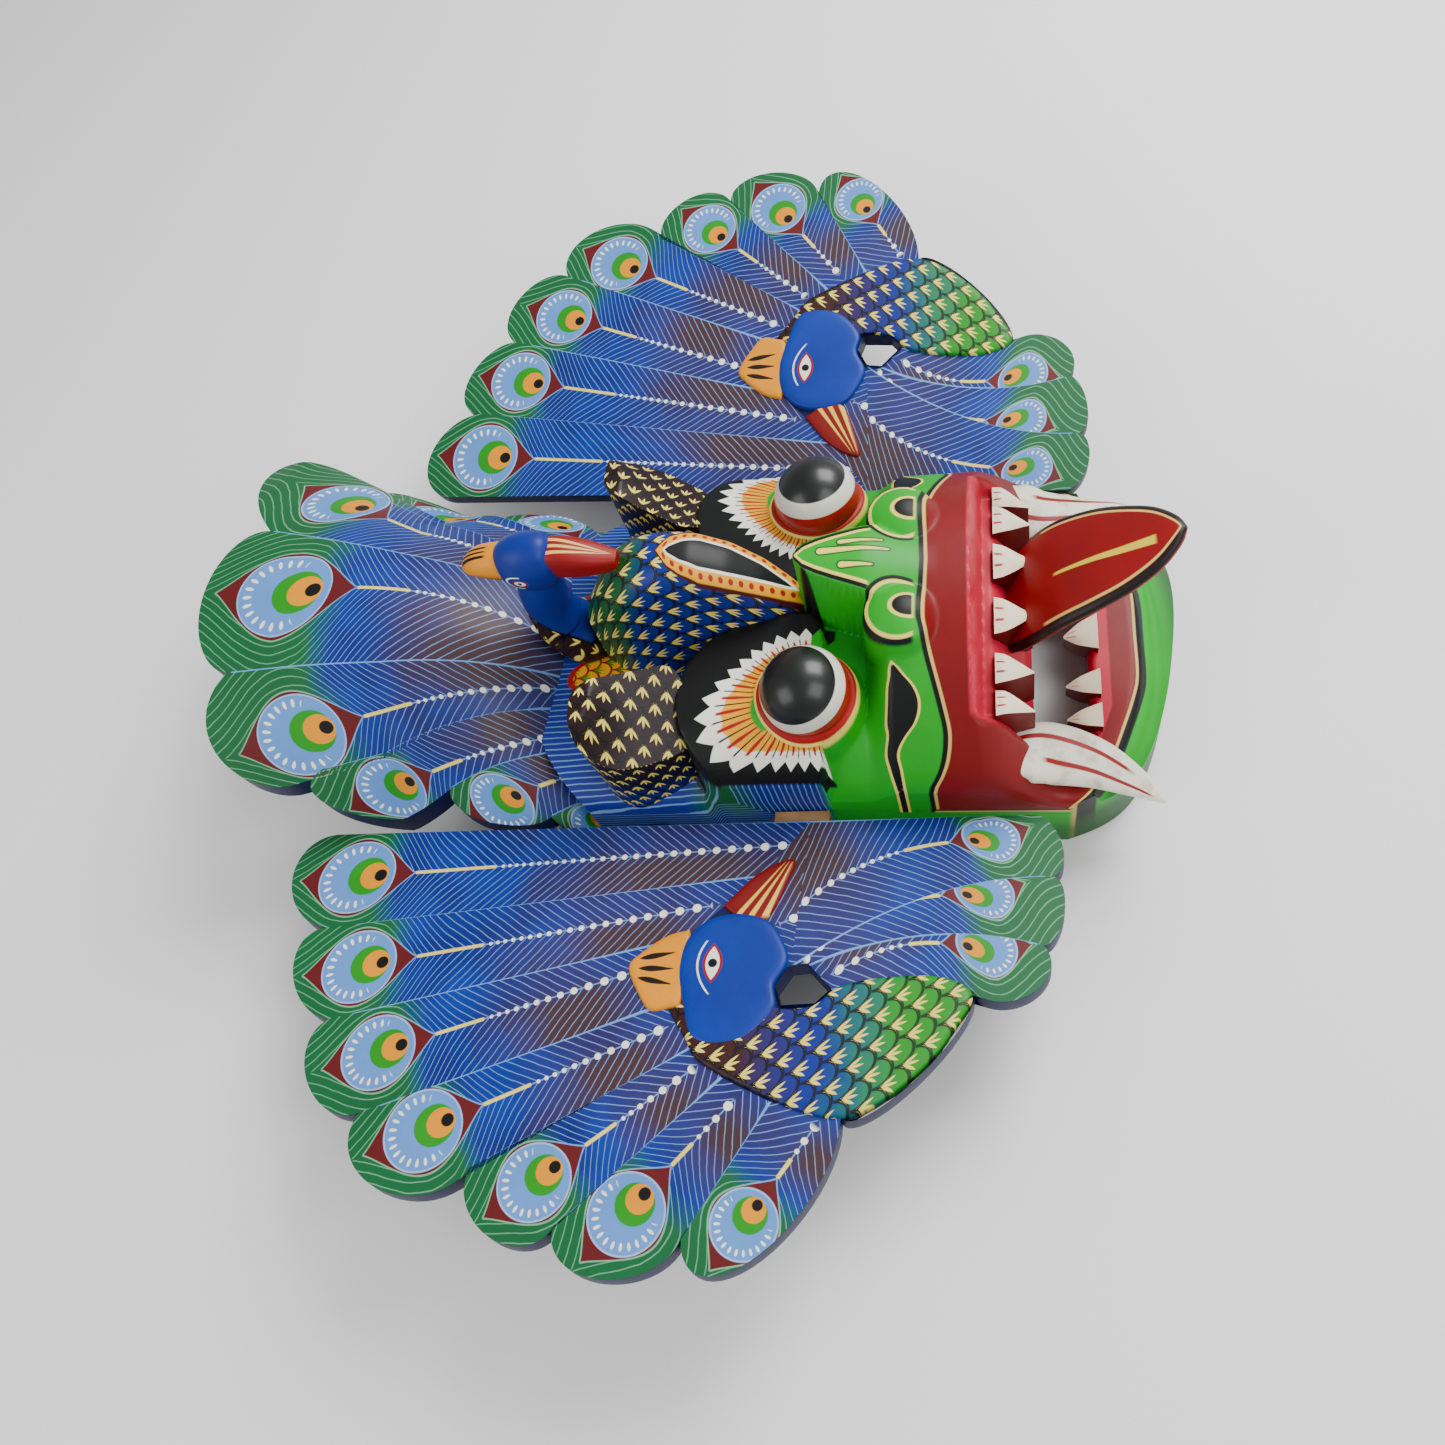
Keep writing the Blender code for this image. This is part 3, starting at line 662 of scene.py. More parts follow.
# %% The shape of the face
HEAD_START, CHIN_END, HALF = -82, 245, 90
EYE_X, EYE_Y, EYE_Z, EYE_R = 73, 54.5, 100, 20
EYE_SQUASH = 0.93
MOUTH_START, MOUTH_END, MOUTH_HALF = 176, 203, 62
MOUTH_MIDDLE, MOUTH_REACH = (MOUTH_START + MOUTH_END) / 2, (MOUTH_END - MOUTH_START) / 2
NOSTRIL = (117.4, 26.4)
# Heights above the back rim.
FOREHEAD, CHEEK, BROW, MUZZLE, GUM, JAW = 61, 89, 97, 122, 92, 47
NOSE, NOSTRIL_TOP = 131, 127.5
MOUTH_FLOOR = 42
EDGE_ROUND = 6


def chin_end(share):
    return CHIN_END + 13.5 * share - 18 * np.abs(share) ** 2.5 - 22 * np.abs(share) ** 10


def head_start(share):
    return HEAD_START + 34 * np.abs(share) ** 3


def head_plan(along, share):
    start = head_start(share)
    return start + (chin_end(share) - start) * along, HALF * share


def brow_reach(turn):
    """How far the brow runs from the eye at each turn: a long lobe to the back, cut short in front."""
    reach = mix(0.7, 1.0, (0.5 - 0.5 * np.cos(turn)) ** 3) * 64
    return np.maximum(reach * mix(0.5, 1, ease(0.35, 0.0, np.cos(turn))), 24)


def nose_gap(x, y):
    """Distance inside the outline of the nose: a round-ended wedge that widens to the nostrils."""
    half = np.interp(x, (64, 68, 70, 74, 80, 88, 99, 106), (-9, -2, 3.5, 7.5, 10.5, 13.5, 17, 19))
    return half - np.abs(y)


def base_height(x, y):
    """The face without its raised parts, from the forehead through the lip to the jaw."""
    across = np.abs(y)
    share = across / HALF
    forehead = FOREHEAD - 18 * share**3
    cheek = CHEEK - 32 * share**4
    muzzle = MUZZLE - 55 * share**2.3
    gum = mix(GUM, 66, ease(157, 174, x)) - 10 * np.clip(across / MOUTH_HALF, 0, 1) ** 2
    inside = 1 - ease(MOUTH_HALF - 2, MOUTH_HALF + 8, across)
    floor = mix(gum, MOUTH_FLOOR, ease(MOUTH_START - 4, MOUTH_START + 4, x))
    corner = mix(muzzle, JAW, ease(149, MOUTH_END - 10, x))
    front = x - (228 - 30 * (across / 88) ** 2.6)
    jaw = JAW - 4 * share**2 - np.maximum(0, front) - 3 * ease(-5, 5, front) * ease(12, 5, front)
    height = mix(forehead, cheek, ease(14, 24, x))
    height = mix(height, muzzle, ease(98, 114, x))
    height = mix(height, mix(corner, floor, inside), ease(149, 153.5, x))
    return mix(height, jaw, ease(MOUTH_END - 1, MOUTH_END + 3, x))


def face_height(x, y):
    """The base with brow, eye collar, nose bridge and nostrils blended in, and its edge rounded."""
    across = np.abs(y)
    height = base_height(x, y)
    reach = np.hypot(x - EYE_X, (across - EYE_Y) / EYE_SQUASH)
    turn = np.arctan2((across - EYE_Y) / EYE_SQUASH, x - EYE_X)
    brow = BROW - 27 * (across / 94) ** 5
    raised = ease(-3.5, 0.5, brow_reach(turn) - reach)
    height = mix(height, np.maximum(height, brow), raised)
    height = height + 3 * ease(27, 22, reach)
    nose = NOSE - 8 * ease(98, 130, x) - 9 * (across / 26) ** 2
    raised = ease(-3.5, 0.2, nose_gap(x, y)) * ease(136, 122, x)
    height = mix(height, np.maximum(height, nose), raised)
    gap = np.hypot(x - NOSTRIL[0], across - NOSTRIL[1])
    boss = NOSTRIL_TOP - 8 * (gap / 18) ** 2
    height = mix(height, np.maximum(height, boss), ease(19, 16, gap) * ease(137, 128, x))
    rounding = np.maximum(0, EDGE_ROUND - (HALF - across))
    return height - (EDGE_ROUND - np.sqrt(np.maximum(EDGE_ROUND**2 - rounding**2, 0)))


# %% [markdown]
# The painter's lines on the face follow the carving: a black and a gold line
# where green meets the red lip, lines round the nose and the nostrils, a
# curved drop on each cheek and petals round the brows. Each is a field here.

# %% Fields of the face
def capsule(x, y, start, end, wide, narrow):
    """Distance to a stroke that narrows from one end to the other."""
    start, end = np.asarray(start, float), np.asarray(end, float)
    line = end - start
    share = np.clip(((x - start[0]) * line[0] + (y - start[1]) * line[1]) / (line @ line), 0, 1)
    gap = np.hypot(x - start[0] - share * line[0], y - start[1] - share * line[1])
    return gap - mix(wide, narrow, share)


def curve(value, table):
    """A smooth reading of a table of places and values, so that painted edges have no corners."""
    line = smooth_line(table, 160)
    return np.interp(value, line[:, 0], line[:, 1])


# Lines by their distance from the middle of the face: the lip, the drop on the cheek and the jaw.
LIP_LINE = [
    (0, 129), (28, 128), (36, 129), (45, 131), (54, 133.5), (63, 136), (72, 138), (80, 137), (86, 134),
    (91, 129), (98, 126),
]
DROP_LINE = [(40, 112), (47, 114), (55, 117), (62, 118), (70, 116), (78, 112), (84, 113), (95, 116)]
DROP_HALF = [
    (40, -7), (47, 0.2), (51, 2.5), (56, 5.5), (62, 6.8), (68, 6.2), (73, 3.6), (79, 2.2), (86, 1.8),
    (95, 0.2), (99, -4),
]
JAW_LINE = [(0, 226), (22, 226), (34, 223.5), (50, 218), (65, 212), (81, 203), (88, 196), (92, 186)]
# Each stroke on the nose by its ends and its half widths there.
NOSE_STROKES = (
    ((82, 1.5), (113, 3), 1.6, 0.4), ((91, 6.5), (110, 8), 1.1, 0.3), ((92, -6), (106, -6), 1.4, 0.3),
)
# The petals reach this far from the eye, and further towards one turn at the back.
PETAL_REACH, PETAL_MORE, PETAL_TURN, PETAL_SPREAD = 38, 19, 23, 35


def face_fields(x, y, z):
    across = np.abs(y)
    reach = np.hypot(x - EYE_X, (across - EYE_Y) / EYE_SQUASH)
    turn = np.arctan2((across - EYE_Y) / EYE_SQUASH, EYE_X - x)
    outer = PETAL_REACH + PETAL_MORE * np.exp(-(((np.degrees(turn) - PETAL_TURN) / PETAL_SPREAD) ** 2))
    outer = np.minimum(outer, 34 / np.maximum(np.sin(turn), 0.5))
    down = np.where(across < HALF - 0.5, across - 65, 25 + np.maximum(0, base_height(x, y) - 6 - z))
    return {
        "lip": x - curve(across, LIP_LINE),
        "jaw": x - curve(across, JAW_LINE),
        "cheek": np.abs(x - curve(across, DROP_LINE)) - curve(across, DROP_HALF),
        "nostril": np.hypot(x - NOSTRIL[0], across - NOSTRIL[1]),
        "core": np.hypot((x - 122) / 1.35, across - NOSTRIL[1]),
        "nose": np.minimum(nose_gap(x, y), 30),
        "stroke": reduce(np.minimum, [capsule(x, y, *stroke) for stroke in NOSE_STROKES]),
        "ring": reach,
        "turn": turn,
        "petal": (outer - reach) / (1 + 0.55 * (outer - PETAL_REACH) / PETAL_MORE),
        "plate": brow_reach(np.arctan2(across - EYE_Y, x - EYE_X)) - reach,
        "vane": (x - 3) * 0.76 + down * 0.65,
        "across": down * 0.76 - (x - 3) * 0.65,
    }


# %% The painting of the face
def back_coats(tree, x, y, hand):
    """Behind the face: blue flanks with barbs and dots, and a patch of petals on each side of the neck."""
    vane, across, petal = read(tree, "vane", "across", "petal")
    side = size_of(y)
    flank = under(x, 78.0, 2.0) * over(side, 60.0, 1.0) * under(petal, -2.0, 0.5)
    green = under(size_of(across - 4.0) - 9.0, 0.0, 5.0) * under(size_of(vane - 34.0) - 17.0, 0.0, 6.0)
    barbs = under(size_of(fraction((vane + size_of(across) * 1.05 + hand) / 4.3) - 0.5), 0.11, 0.04)
    spot = reach_of((fraction(vane / 6.0) - 0.5) * 6.0, across) - 1.6
    dots = under(spot, 0.0, 0.2) * under(vane, 20.0, 0.5)
    feather = lay(BIRD_BLUE, (green, TIP_GREEN), (barbs * 0.75, BARB), (dots, WHITE))
    back = under(x, 8.0, 0.6) * (1.0 - flank)
    bloom = reach_of((x + 42.0) / 20.0 + (side - 20.0) / 45.0, (side - 20.0) / 12.0) - 1.0
    marks = use_group(tree, SCALES, Row=(x + 90.0) / 6.5, Column=y / 9.0)
    petals = lay(ORANGE, (marks["Arc"], hue("9a3510")), (marks["Stroke"], LEAF))
    return (
        (under(x, 8.0 + hand, 0.6), BIRD_BLUE),
        (flank, feather),
        (back * barbs * over(side, 14.0, 1.0) * 0.6, BARB),
        (under(bloom, 0.0, 0.02), blend(over(bloom, -0.16, 0.02), petals, hue("b01e1a"))),
    )


def brow_coats(tree, x, y, z, hand):
    """Black plates with orange petals that have a red stroke and a white tip, and the eyes' rims."""
    petal, turn, ring, plate = read(tree, "petal", "turn", "ring", "plate")
    high = over(z, 61.0, 0.5)
    ahead = under(turn, 1.85, 0.01) * over(turn, -1.6, 0.01) * under(x, 88.0, 0.5) * high
    pitch = 0.19 - over(y, 0.0, 0.1) * 0.035
    leaf = size_of(fraction(turn / pitch + 0.5) - 0.5)
    tips = petal - leaf * 9.0
    behind = over(plate, -5.0, 0.6) * under(turn, 0.5, 0.05)
    dark = under(tips, 0.0, 0.3) * most(over(petal, -4.0, 0.3) * high, behind)
    stripe = under(leaf - 0.13 + size_of(petal - 12.0) * 0.01, 0.0, 0.03) * between(petal, 7.0, 20.0, 0.4)
    return (
        (dark * under(x, 84.0, 0.5) * over(size_of(y), 6.0, 1.0), BLACK),
        (ahead * over(tips, 0.0, 0.25), WHITE),
        (ahead * over(petal - leaf * 2.0, 8.5, 0.4), ORANGE),
        (ahead * stripe, hue("b3201a")),
        (ahead * over(leaf, 0.45, 0.02) * over(petal, 6.0, 0.5), BLACK),
        (over(petal + hand, 18.5, 0.5) * under(x, 90.0, 0.5), FACE),
        (under(ring, 24.9, 0.2), CREAM),
        (under(ring, 23.8 + hand * 0.3, 0.2), hue("b3131a")),
    )


def nose_coats(tree, x):
    """The nose's outline and strokes, two arcs and a black core at each nostril, and the drops."""
    nose, stroke, nostril, core, cheek = read(tree, "nose", "stroke", "nostril", "core", "cheek")
    front, back = under(x, 104.0, 0.8), under(x, 124.0, 0.8)
    return (
        (between(nose, 1.0, 3.0, 0.2) * front, BLACK),
        (between(nose, 3.0, 4.7, 0.2) * front, CREAM),
        (under(stroke, 0.9, 0.2), FACE_DARK),
        (under(stroke, 0.1, 0.2), CREAM),
        (between(nostril, 15.0, 16.8, 0.25) * back, BLACK),
        (between(nostril, 13.4, 15.0, 0.25) * back, CREAM),
        (under(core, 6.6, 0.25) * under(x, 124.6, 0.5), CREAM),
        (under(core, 5.2, 0.25) * under(x, 124.0, 0.5), BLACK),
        (under(cheek, 1.3, 0.2), CREAM),
        (under(cheek, 0.1, 0.2), BLACK),
    )


def mouth_coats(tree, x, y, z, hand):
    """The lip and its lines, the gum inside it, the jaw and the chin, with painted shade that darkens the
    green low on the chin and along the lower edge.
    """
    lip, jaw = read(tree, "lip", "jaw")
    side = size_of(y)
    wall = over(side, 88.0, 0.3) * over(x, 100.0, 0.5) * under(jaw, 0.0, 0.2)
    return (
        (over(lip, -2.6 + hand * 0.2, 0.3), BLACK),
        (over(lip, -0.3, 0.2), GOLD),
        (over(lip, 1.2, 0.25), RED),
        (over(x, 147.5 + hand * 0.5, 0.5) * under(side, 66.0, 1.5) * under(x, 213.0, 0.5), PINK),
        (over(jaw, -9.0, 0.4) * over(x, 190.0, 2.0), RED),
        (over(jaw, -1.0, 0.2), GOLD),
        (over(jaw, 0.3, 0.2), BLACK),
        # Painted shade: the green chin below the jaw line darkens towards the bottom.
        (over(jaw, 4.2, 0.3), blend(under(z, 30.0, 9.0), FACE, FACE_DARK)),
        (wall * under(z, 41.0, 0.3) * over(lip, -3.0, 0.3), BLACK),
        (wall * under(z, 39.3, 0.3) * over(lip, -1.0, 0.3), GOLD),
        (wall * under(z, 37.6, 0.3), FACE),
        # Painted shade: past the forehead, the lower edge of the head darkens to deep green.
        (under(z, 22.0, 9.0) * over(x, 66.0, 2.0) * 0.8, FACE_DARK),
    )


def face_colour(tree):
    """The painting of the face, laid down from the ground to the last lines."""
    x, y, z = place(tree)
    hand = (noise(tree, 90, 3) - 0.5) * 1.4
    back, brows = back_coats(tree, x, y, hand), brow_coats(tree, x, y, z, hand)
    return lay(FACE, *back, *brows, *nose_coats(tree, x), *mouth_coats(tree, x, y, z, hand))


face_enamel = enamel("face_enamel", face_colour, wear=0.2)
print("face painting ready")


# %% The face and its side walls
FACE_GRID, HOLLOW_GRID = (321, 181), (121, 73)
WALL = 12


def meet_mouth(x, y, inner):
    """Moves what lies just inside the mouth onto its edge, and says which points stay."""
    gap = np.abs((x - MOUTH_MIDDLE) / MOUTH_REACH) ** 5 + np.abs(y / MOUTH_HALF) ** 5
    near = (gap < 1) & (gap > inner)
    pull = np.where(near, gap ** (-1 / 5), 1.0)
    x = np.where(near, MOUTH_MIDDLE + (x - MOUTH_MIDDLE) * pull, x)
    return x, np.where(near, y * pull, y), gap > inner


def border(grid):
    """The outer points of a grid, once round."""
    return np.concatenate([grid[0, :-1], grid[:-1, -1], grid[-1, :0:-1], grid[:0:-1, 0]])


def corner_places(rows, columns):
    """Where the corners lie on that border, as shares of it."""
    return np.cumsum([0, columns - 1, rows - 1, columns - 1, rows - 1]) / (2 * (rows + columns - 2))


def face_patches():
    """The top of the face and the walls under its border, with that border."""
    steps = (np.linspace(0, 1, FACE_GRID[0]), np.linspace(-1, 1, FACE_GRID[1]))
    x, y, keep = meet_mouth(*head_plan(*np.meshgrid(*steps, indexing="ij")), 0.72)
    top = np.stack([x, y, face_height(x, y)], -1)
    ring = border(top)
    levels = np.linspace(1, 0, 24)[:, None]
    wall = np.broadcast_to(ring, (24, *ring.shape)).copy()
    wall[..., 2] = ring[None, :, 2] * levels
    made = [patch(top, keep=keep, **face_fields(*np.moveaxis(top, -1, 0)))]
    made.append(patch(wall, wrap=True, away=(80, 0, 20), **face_fields(*np.moveaxis(wall, -1, 0))))
    return made, ring


def hollow_height(x, y):
    """The face lowered by a ball of the wall's size that rolls under it, and nothing at the rim."""
    height = np.full(np.shape(x), 76.0)
    for radius in (0, 6, 10.4, WALL):
        drop = np.sqrt(max(0, WALL**2 - radius**2))
        for turn in np.linspace(0, 2 * np.pi, 12, endpoint=False):
            near_x, near_y = x + radius * np.cos(turn), y + radius * np.sin(turn)
            inside = (np.abs(near_y) < HALF) & (near_x > head_start(np.clip(near_y / HALF, -1, 1)))
            inside &= near_x < chin_end(near_y / HALF)
            face = np.where(inside, base_height(near_x, np.clip(near_y, -HALF, HALF)), -40)
            height = np.minimum(height, face - drop)
    return np.maximum(height, 0)


def hollow_patches(ring):
    """The flat rim, and the hollow on a grid like that of the face but moved in by the wall."""
    inset, ends = WALL / HALF, WALL / (CHIN_END - HEAD_START)
    inner_rows = np.linspace(ends + 0.004, 1 - ends - 0.004, HOLLOW_GRID[0] - 2)
    inner_columns = np.linspace(inset - 0.988, 0.988 - inset, HOLLOW_GRID[1] - 2)
    rows = np.concatenate([[ends], inner_rows, [1 - ends]])
    columns = np.concatenate([[inset - 1], inner_columns, [1 - inset]])
    x, y, keep = meet_mouth(*head_plan(*np.meshgrid(rows, columns, indexing="ij")), 0.5)
    roof = np.stack([x, y, hollow_height(x, y)], -1)
    edge = border(roof) * (1, 1, 0)
    share = np.linspace(0, 1, len(edge), endpoint=False)
    outer = np.append(np.linspace(0, 1, len(ring), endpoint=False), 1)
    spot = np.interp(share, corner_places(*HOLLOW_GRID), corner_places(*FACE_GRID))
    closed = np.vstack([ring, ring[:1]])
    follow = np.column_stack([np.interp(spot, outer, closed[:, axis]) for axis in (0, 1)])
    rim = np.stack([np.column_stack([follow, 0 * spot]), edge])
    return [patch(rim, wrap=True, up=DOWN), patch(roof, keep=keep, up=DOWN)]


face, outer_ring = face_patches()
piece("painted_face", face, [face_enamel], sharp=50)


# %% [markdown]
# The back stays plain: bare wood darkened by handling, with gouge marks.

# %% The hollow back
def gouged(tree):
    grain = noise(tree, 60, 5)
    return blend(over(grain, 0.5, 0.25), hue("8c6844"), hue("4d3422"))


def rounded_box(turn, power):
    """A superellipse of half width 1: its two coordinates at each turn."""
    return [np.sign(wave) * np.abs(wave) ** (2 / power) for wave in (np.cos(turn), np.sin(turn))]


def throat_patch():
    """The wall of the mouth, from the hollow up to the face."""
    across, around = rounded_box(np.linspace(0, 2 * np.pi, 120, endpoint=False), 5)
    x, y = MOUTH_MIDDLE + MOUTH_REACH * across, MOUTH_HALF * around
    high, low = face_height(x, y), hollow_height(x, y)
    rings = [np.column_stack([x, y, mix(low, high, share)]) for share in np.linspace(0, 1, 7)]
    return patch(np.stack(rings), wrap=True, away=(MOUTH_MIDDLE, 0, 40), inward=True, paint=1)


gouged_wood = enamel("gouged_wood", gouged, coat=0.0, bump=0.8)
throat_red = enamel("throat_red", DARK_RED)
piece("hollow_back", [*hollow_patches(outer_ring), throat_patch()], [gouged_wood, throat_red], sharp=50)


# %% [markdown]
# The eyes are domes that bulge past their sockets: black above, then a white
# and a red band. On the mask's right the bands are painted off centre.

# %% The eyes
def dome_colour(tree):
    band = field(tree, "band") - over(place(tree)[1], 0.0, 0.1) * 3.0
    return lay(hue("b3131a"), (over(band, 3.2, 0.25), hue("e9e6da")), (over(band, 10.2, 0.25), BLACK))


dome_enamel = enamel("eye_enamel", dome_colour, wear=0.1, coat=0.6, bump=0.05)
for side, label, lean in ((1, "left", (-0.05, 0.16, 0.98)), (-1, "right", (-0.2, -0.2, 0.95))):
    steps = (np.radians(np.linspace(-25, 90, 36)), np.linspace(0, 2 * np.pi, 72, endpoint=False))
    rise, around = np.meshgrid(*steps, indexing="ij")
    step = np.stack([np.cos(rise) * np.cos(around), np.cos(rise) * np.sin(around), np.sin(rise)], -1)
    step = step * (EYE_R + 1.3)
    centre = np.array([EYE_X, side * EYE_Y, EYE_Z])
    dome = patch(centre + step, wrap=True, away=centre, band=step @ (np.array(lean) / np.linalg.norm(lean)))
    piece(f"{label}_eye", [dome], [dome_enamel])


# %% [markdown]
# Round parts such as the tongue, tusks, neck and beak are an oval carried along
# a path. The path's direction gives the frame, and the sizes are read from a
# few stations with a smooth curve, so no edge shows between them.

# %% Swept parts
def sweep(path, wide, high, rings=40, sides=32, square=2.0):
    """A superellipse section along a smooth path; its power sets how square it is."""
    path, wide, high = smooth_line(path, rings), smooth_line(wide, rings), smooth_line(high, rings)
    ahead = np.gradient(path, axis=0)
    ahead /= np.linalg.norm(ahead, axis=1)[:, None]
    across = np.cross([0, 0, 1.0], ahead)
    across[np.linalg.norm(across, axis=1) < 0.2] = (0, 1, 0)
    across /= np.linalg.norm(across, axis=1)[:, None]
    rise = np.cross(ahead, across)
    side, lift = rounded_box(np.linspace(0, 2 * np.pi, sides, endpoint=False), square)
    wide, high = np.maximum(wide, 0.05)[:, None], np.maximum(high, 0.05)[:, None]
    points = path[:, None] + across[:, None] * (wide * side)[..., None]
    points = points + rise[:, None] * (high * lift)[..., None]
    every = np.ones((rings, sides))
    share = np.linspace(0, 1, rings)[:, None]
    return points, {"share": share * every, "side": side * wide, "lift": lift * every, "half": wide * every}


def capped(points, fields):
    """The sweep with both ends drawn to a point."""
    first, last = (ring.mean(axis=1, keepdims=True) + 0 * ring for ring in (points[:1], points[-1:]))
    grown = {name: np.concatenate([value[:1], value, value[-1:]]) for name, value in fields.items()}
    return np.concatenate([first, points, last]), grown


def swept_piece(name, sweeps, paints):
    """One piece from closed sweeps, each with its own paint, or the last one where there are fewer."""
    patches = []
    for number, swept in enumerate(sweeps):
        points, fields = capped(*swept)
        made = patch(points, wrap=True, paint=min(number, len(paints) - 1), **fields)
        a, b, c, d = (made["points"][made["quads"][:, corner]] for corner in range(4))
        volume = (np.cross(b - a, c - a) * (a + c)).sum() + (np.cross(c - a, d - a) * (a + c)).sum()
        if volume < 0:
            made["quads"] = made["quads"][:, ::-1]
        patches.append(made)
    piece(name, patches, paints)


# %% The tongue
def tongue_colour(tree):
    share, side, half, lift = read(tree, "share", "side", "half", "lift")
    edge = least(half - size_of(side), (1.0 - share) * 75.0)
    top = over(lift, 0.0, 0.02)
    run = (share * 87.0 - 32.0) / 34.0
    stroke = size_of(side + 3.0) - 0.7 - 1.6 * run
    return lay(
        RED,
        (over(noise(tree, 40, 3), 0.5, 0.3), hue("a01420")),
        (under(edge, 3.4, 0.3) * top, hue("2c0c0c")),
        (between(edge, 3.6, 4.9, 0.25) * top * over(share, 0.3, 0.01), GOLD),
        (under(stroke, 0.0, 0.25) * between(run, 0.0, 1.0, 0.02) * top, hue("e6cf4e")),
    )


TONGUE_PATH = [
    (165, 0, 74), (172, 0, 84), (180, 0, 95), (190, 0, 105.5), (204, 0, 115), (217, 0, 122), (229, 0, 129),
    (237, 0, 134), (240, 0, 136),
]
TONGUE_HALF = [24, 27.5, 29, 28.6, 26.5, 22.5, 16, 7.5, 1.0]
TONGUE_THICK = [4.5, 5, 5, 5, 5, 4.6, 4, 3, 1]
tongue = sweep(TONGUE_PATH, TONGUE_HALF, TONGUE_THICK, rings=60, sides=48, square=2.6)
swept_piece("tongue", [tongue], [enamel("tongue_enamel", tongue_colour)])


# %% Tusks
def tusk_colour(tree):
    share, lift, side, half = read(tree, "share", "lift", "side", "half")
    across = side / half
    first = under(size_of(across - (0.55 - share * 0.5)) - 0.09, 0.0, 0.02) * between(share, 0.18, 0.75, 0.03)
    second = under(size_of(across + 0.35 + share * 0.25) - 0.08, 0.0, 0.02) * between(share, 0.3, 0.9, 0.03)
    aged = over(noise(tree, 120, 4), 0.6, 0.1)
    lines = most(first, second) * over(lift, -0.2, 0.1)
    return lay(hue("ece8d8"), (aged, hue("cfc6b2")), (lines, hue("9c1c20")))


TUSK_PATH = np.array([
    (163, 75, 63), (170, 71, 60), (183, 67.5, 55), (203, 70, 49), (222, 77, 41), (235, 83, 32),
])
TUSK_HALF, TUSK_THICK = [9, 14.5, 16, 13, 7.4, 1], [4, 6.5, 6.6, 5.6, 3.8, 1]
tusks = []
for side in (-1, 1):
    points, fields = sweep(TUSK_PATH * (1, side, 1), TUSK_HALF, TUSK_THICK, rings=56, sides=36)
    if side > 0:
        fields["side"] = -fields["side"]
    tusks.append((points, fields))
swept_piece("tusks", tusks, [enamel("tusk_enamel", tusk_colour, wear=0.6)])


# %% [markdown]
# Teeth are small wedges: a white front with red strokes and dark red flanks.

# %% Teeth
def tooth_colour(tree):
    flank, share, side = read(tree, "flank", "share", "side")
    stroke = under(size_of(size_of(side) - 0.33) - 0.07, 0.0, 0.03) * between(share, 0.04, 0.4, 0.05)
    return lay(hue("f3ead2"), (stroke, hue("b5262d")), (over(flank, 0.5, 0.05), DARK_RED))


def tooth_patches(y, width, stations):
    """A front, two flanks and two ends over stations, each its place, top, foot and share of the width."""
    stations = smooth_line(stations, 9)
    x, high, low, half = stations[:, 0], stations[:, 1], stations[:, 2], stations[:, 3] * width / 2
    across = np.linspace(-1, 1, 9)
    front = np.stack([
        x[:, None] + 0 * across, y + half[:, None] * across,
        high[:, None] - 1.5 * across**2 * np.minimum(half, 5)[:, None] / 5,
    ], -1)
    every = np.ones((9, 9))
    made = [patch(front, share=np.linspace(0, 1, 9)[:, None] * every, side=across * every, flank=0.0)]
    for edge, foot in ((front[:, 0], low), (front[:, -1], low), (front[-1], low[-1]), (front[0], low[0])):
        below = edge.copy()
        below[:, 2] = foot
        made.append(patch(np.stack([edge, below]), away=(x.mean(), y, low.mean()), flank=1.0))
    return made


# The place across the mouth and the width of each tooth.
UPPER_TEETH = ((-57, 13), (-41, 16), (-15, 20), (15, 20), (41, 16), (57, 13))
LOWER_TEETH = ((-46, 13), (-28, 14), (0, 20), (28, 14), (46, 13))
teeth = []
for y, width in UPPER_TEETH:
    drop = 9 * (y / MOUTH_HALF) ** 2
    root, middle = (159, 97 - drop, 72 - drop, 1.0), (165, 96.5 - drop, 67 - drop, 0.8)
    teeth += tooth_patches(y, width, [root, middle, (176.5, 95 - drop * 2.2, 64 - drop, 0.05)])
for y, width in LOWER_TEETH:
    teeth += tooth_patches(y, width, [(192, 46, 38, 0.08), (199, 50, 37.5, 0.62), (208, 53, 40, 1.0)])
piece("teeth", teeth, [enamel("tooth_enamel", tooth_colour, wear=0.5)], sharp=35)


# %% [markdown]
# The bird on the forehead: neck, head, beak and crest are swept parts. Its
# back and the long leaf that runs down from it are one ridge, and the wings
# are low blocks with scales.

# %% The forehead bird's head
def beak_colour(tree):
    share, side, lift = read(tree, "share", "side", "lift")
    stroke = under(size_of(size_of(side) - 2.6) - 0.25 - share, 0.0, 0.15)
    stroke = stroke * between(share, 0.35, 0.8, 0.03)
    line = under(size_of(side) - 0.1 - share * 0.9, 0.0, 0.15) * between(share, 0.35, 0.85, 0.03)
    marks = most(stroke, line) * over(lift, 0.0, 0.1)
    return lay(YELLOW, (under(lift, -0.1, 0.2), hue("a8741c")), (marks, BLACK))


def crest_colour(tree):
    share, side, half, lift = read(tree, "share", "side", "half", "lift")
    gaps = [size_of(side / half - middle * (1.0 - share)) for middle in (-0.55, 0.0, 0.55)]
    lines = reduce(most, [under(gap - 0.13 * (1.0 - share), 0.0, 0.02) for gap in gaps])
    lines = lines * between(share, 0.06, 0.92, 0.03) * over(lift, 0.1, 0.1)
    return blend(lines, hue("9e1d1b"), hue("f0c97a"))


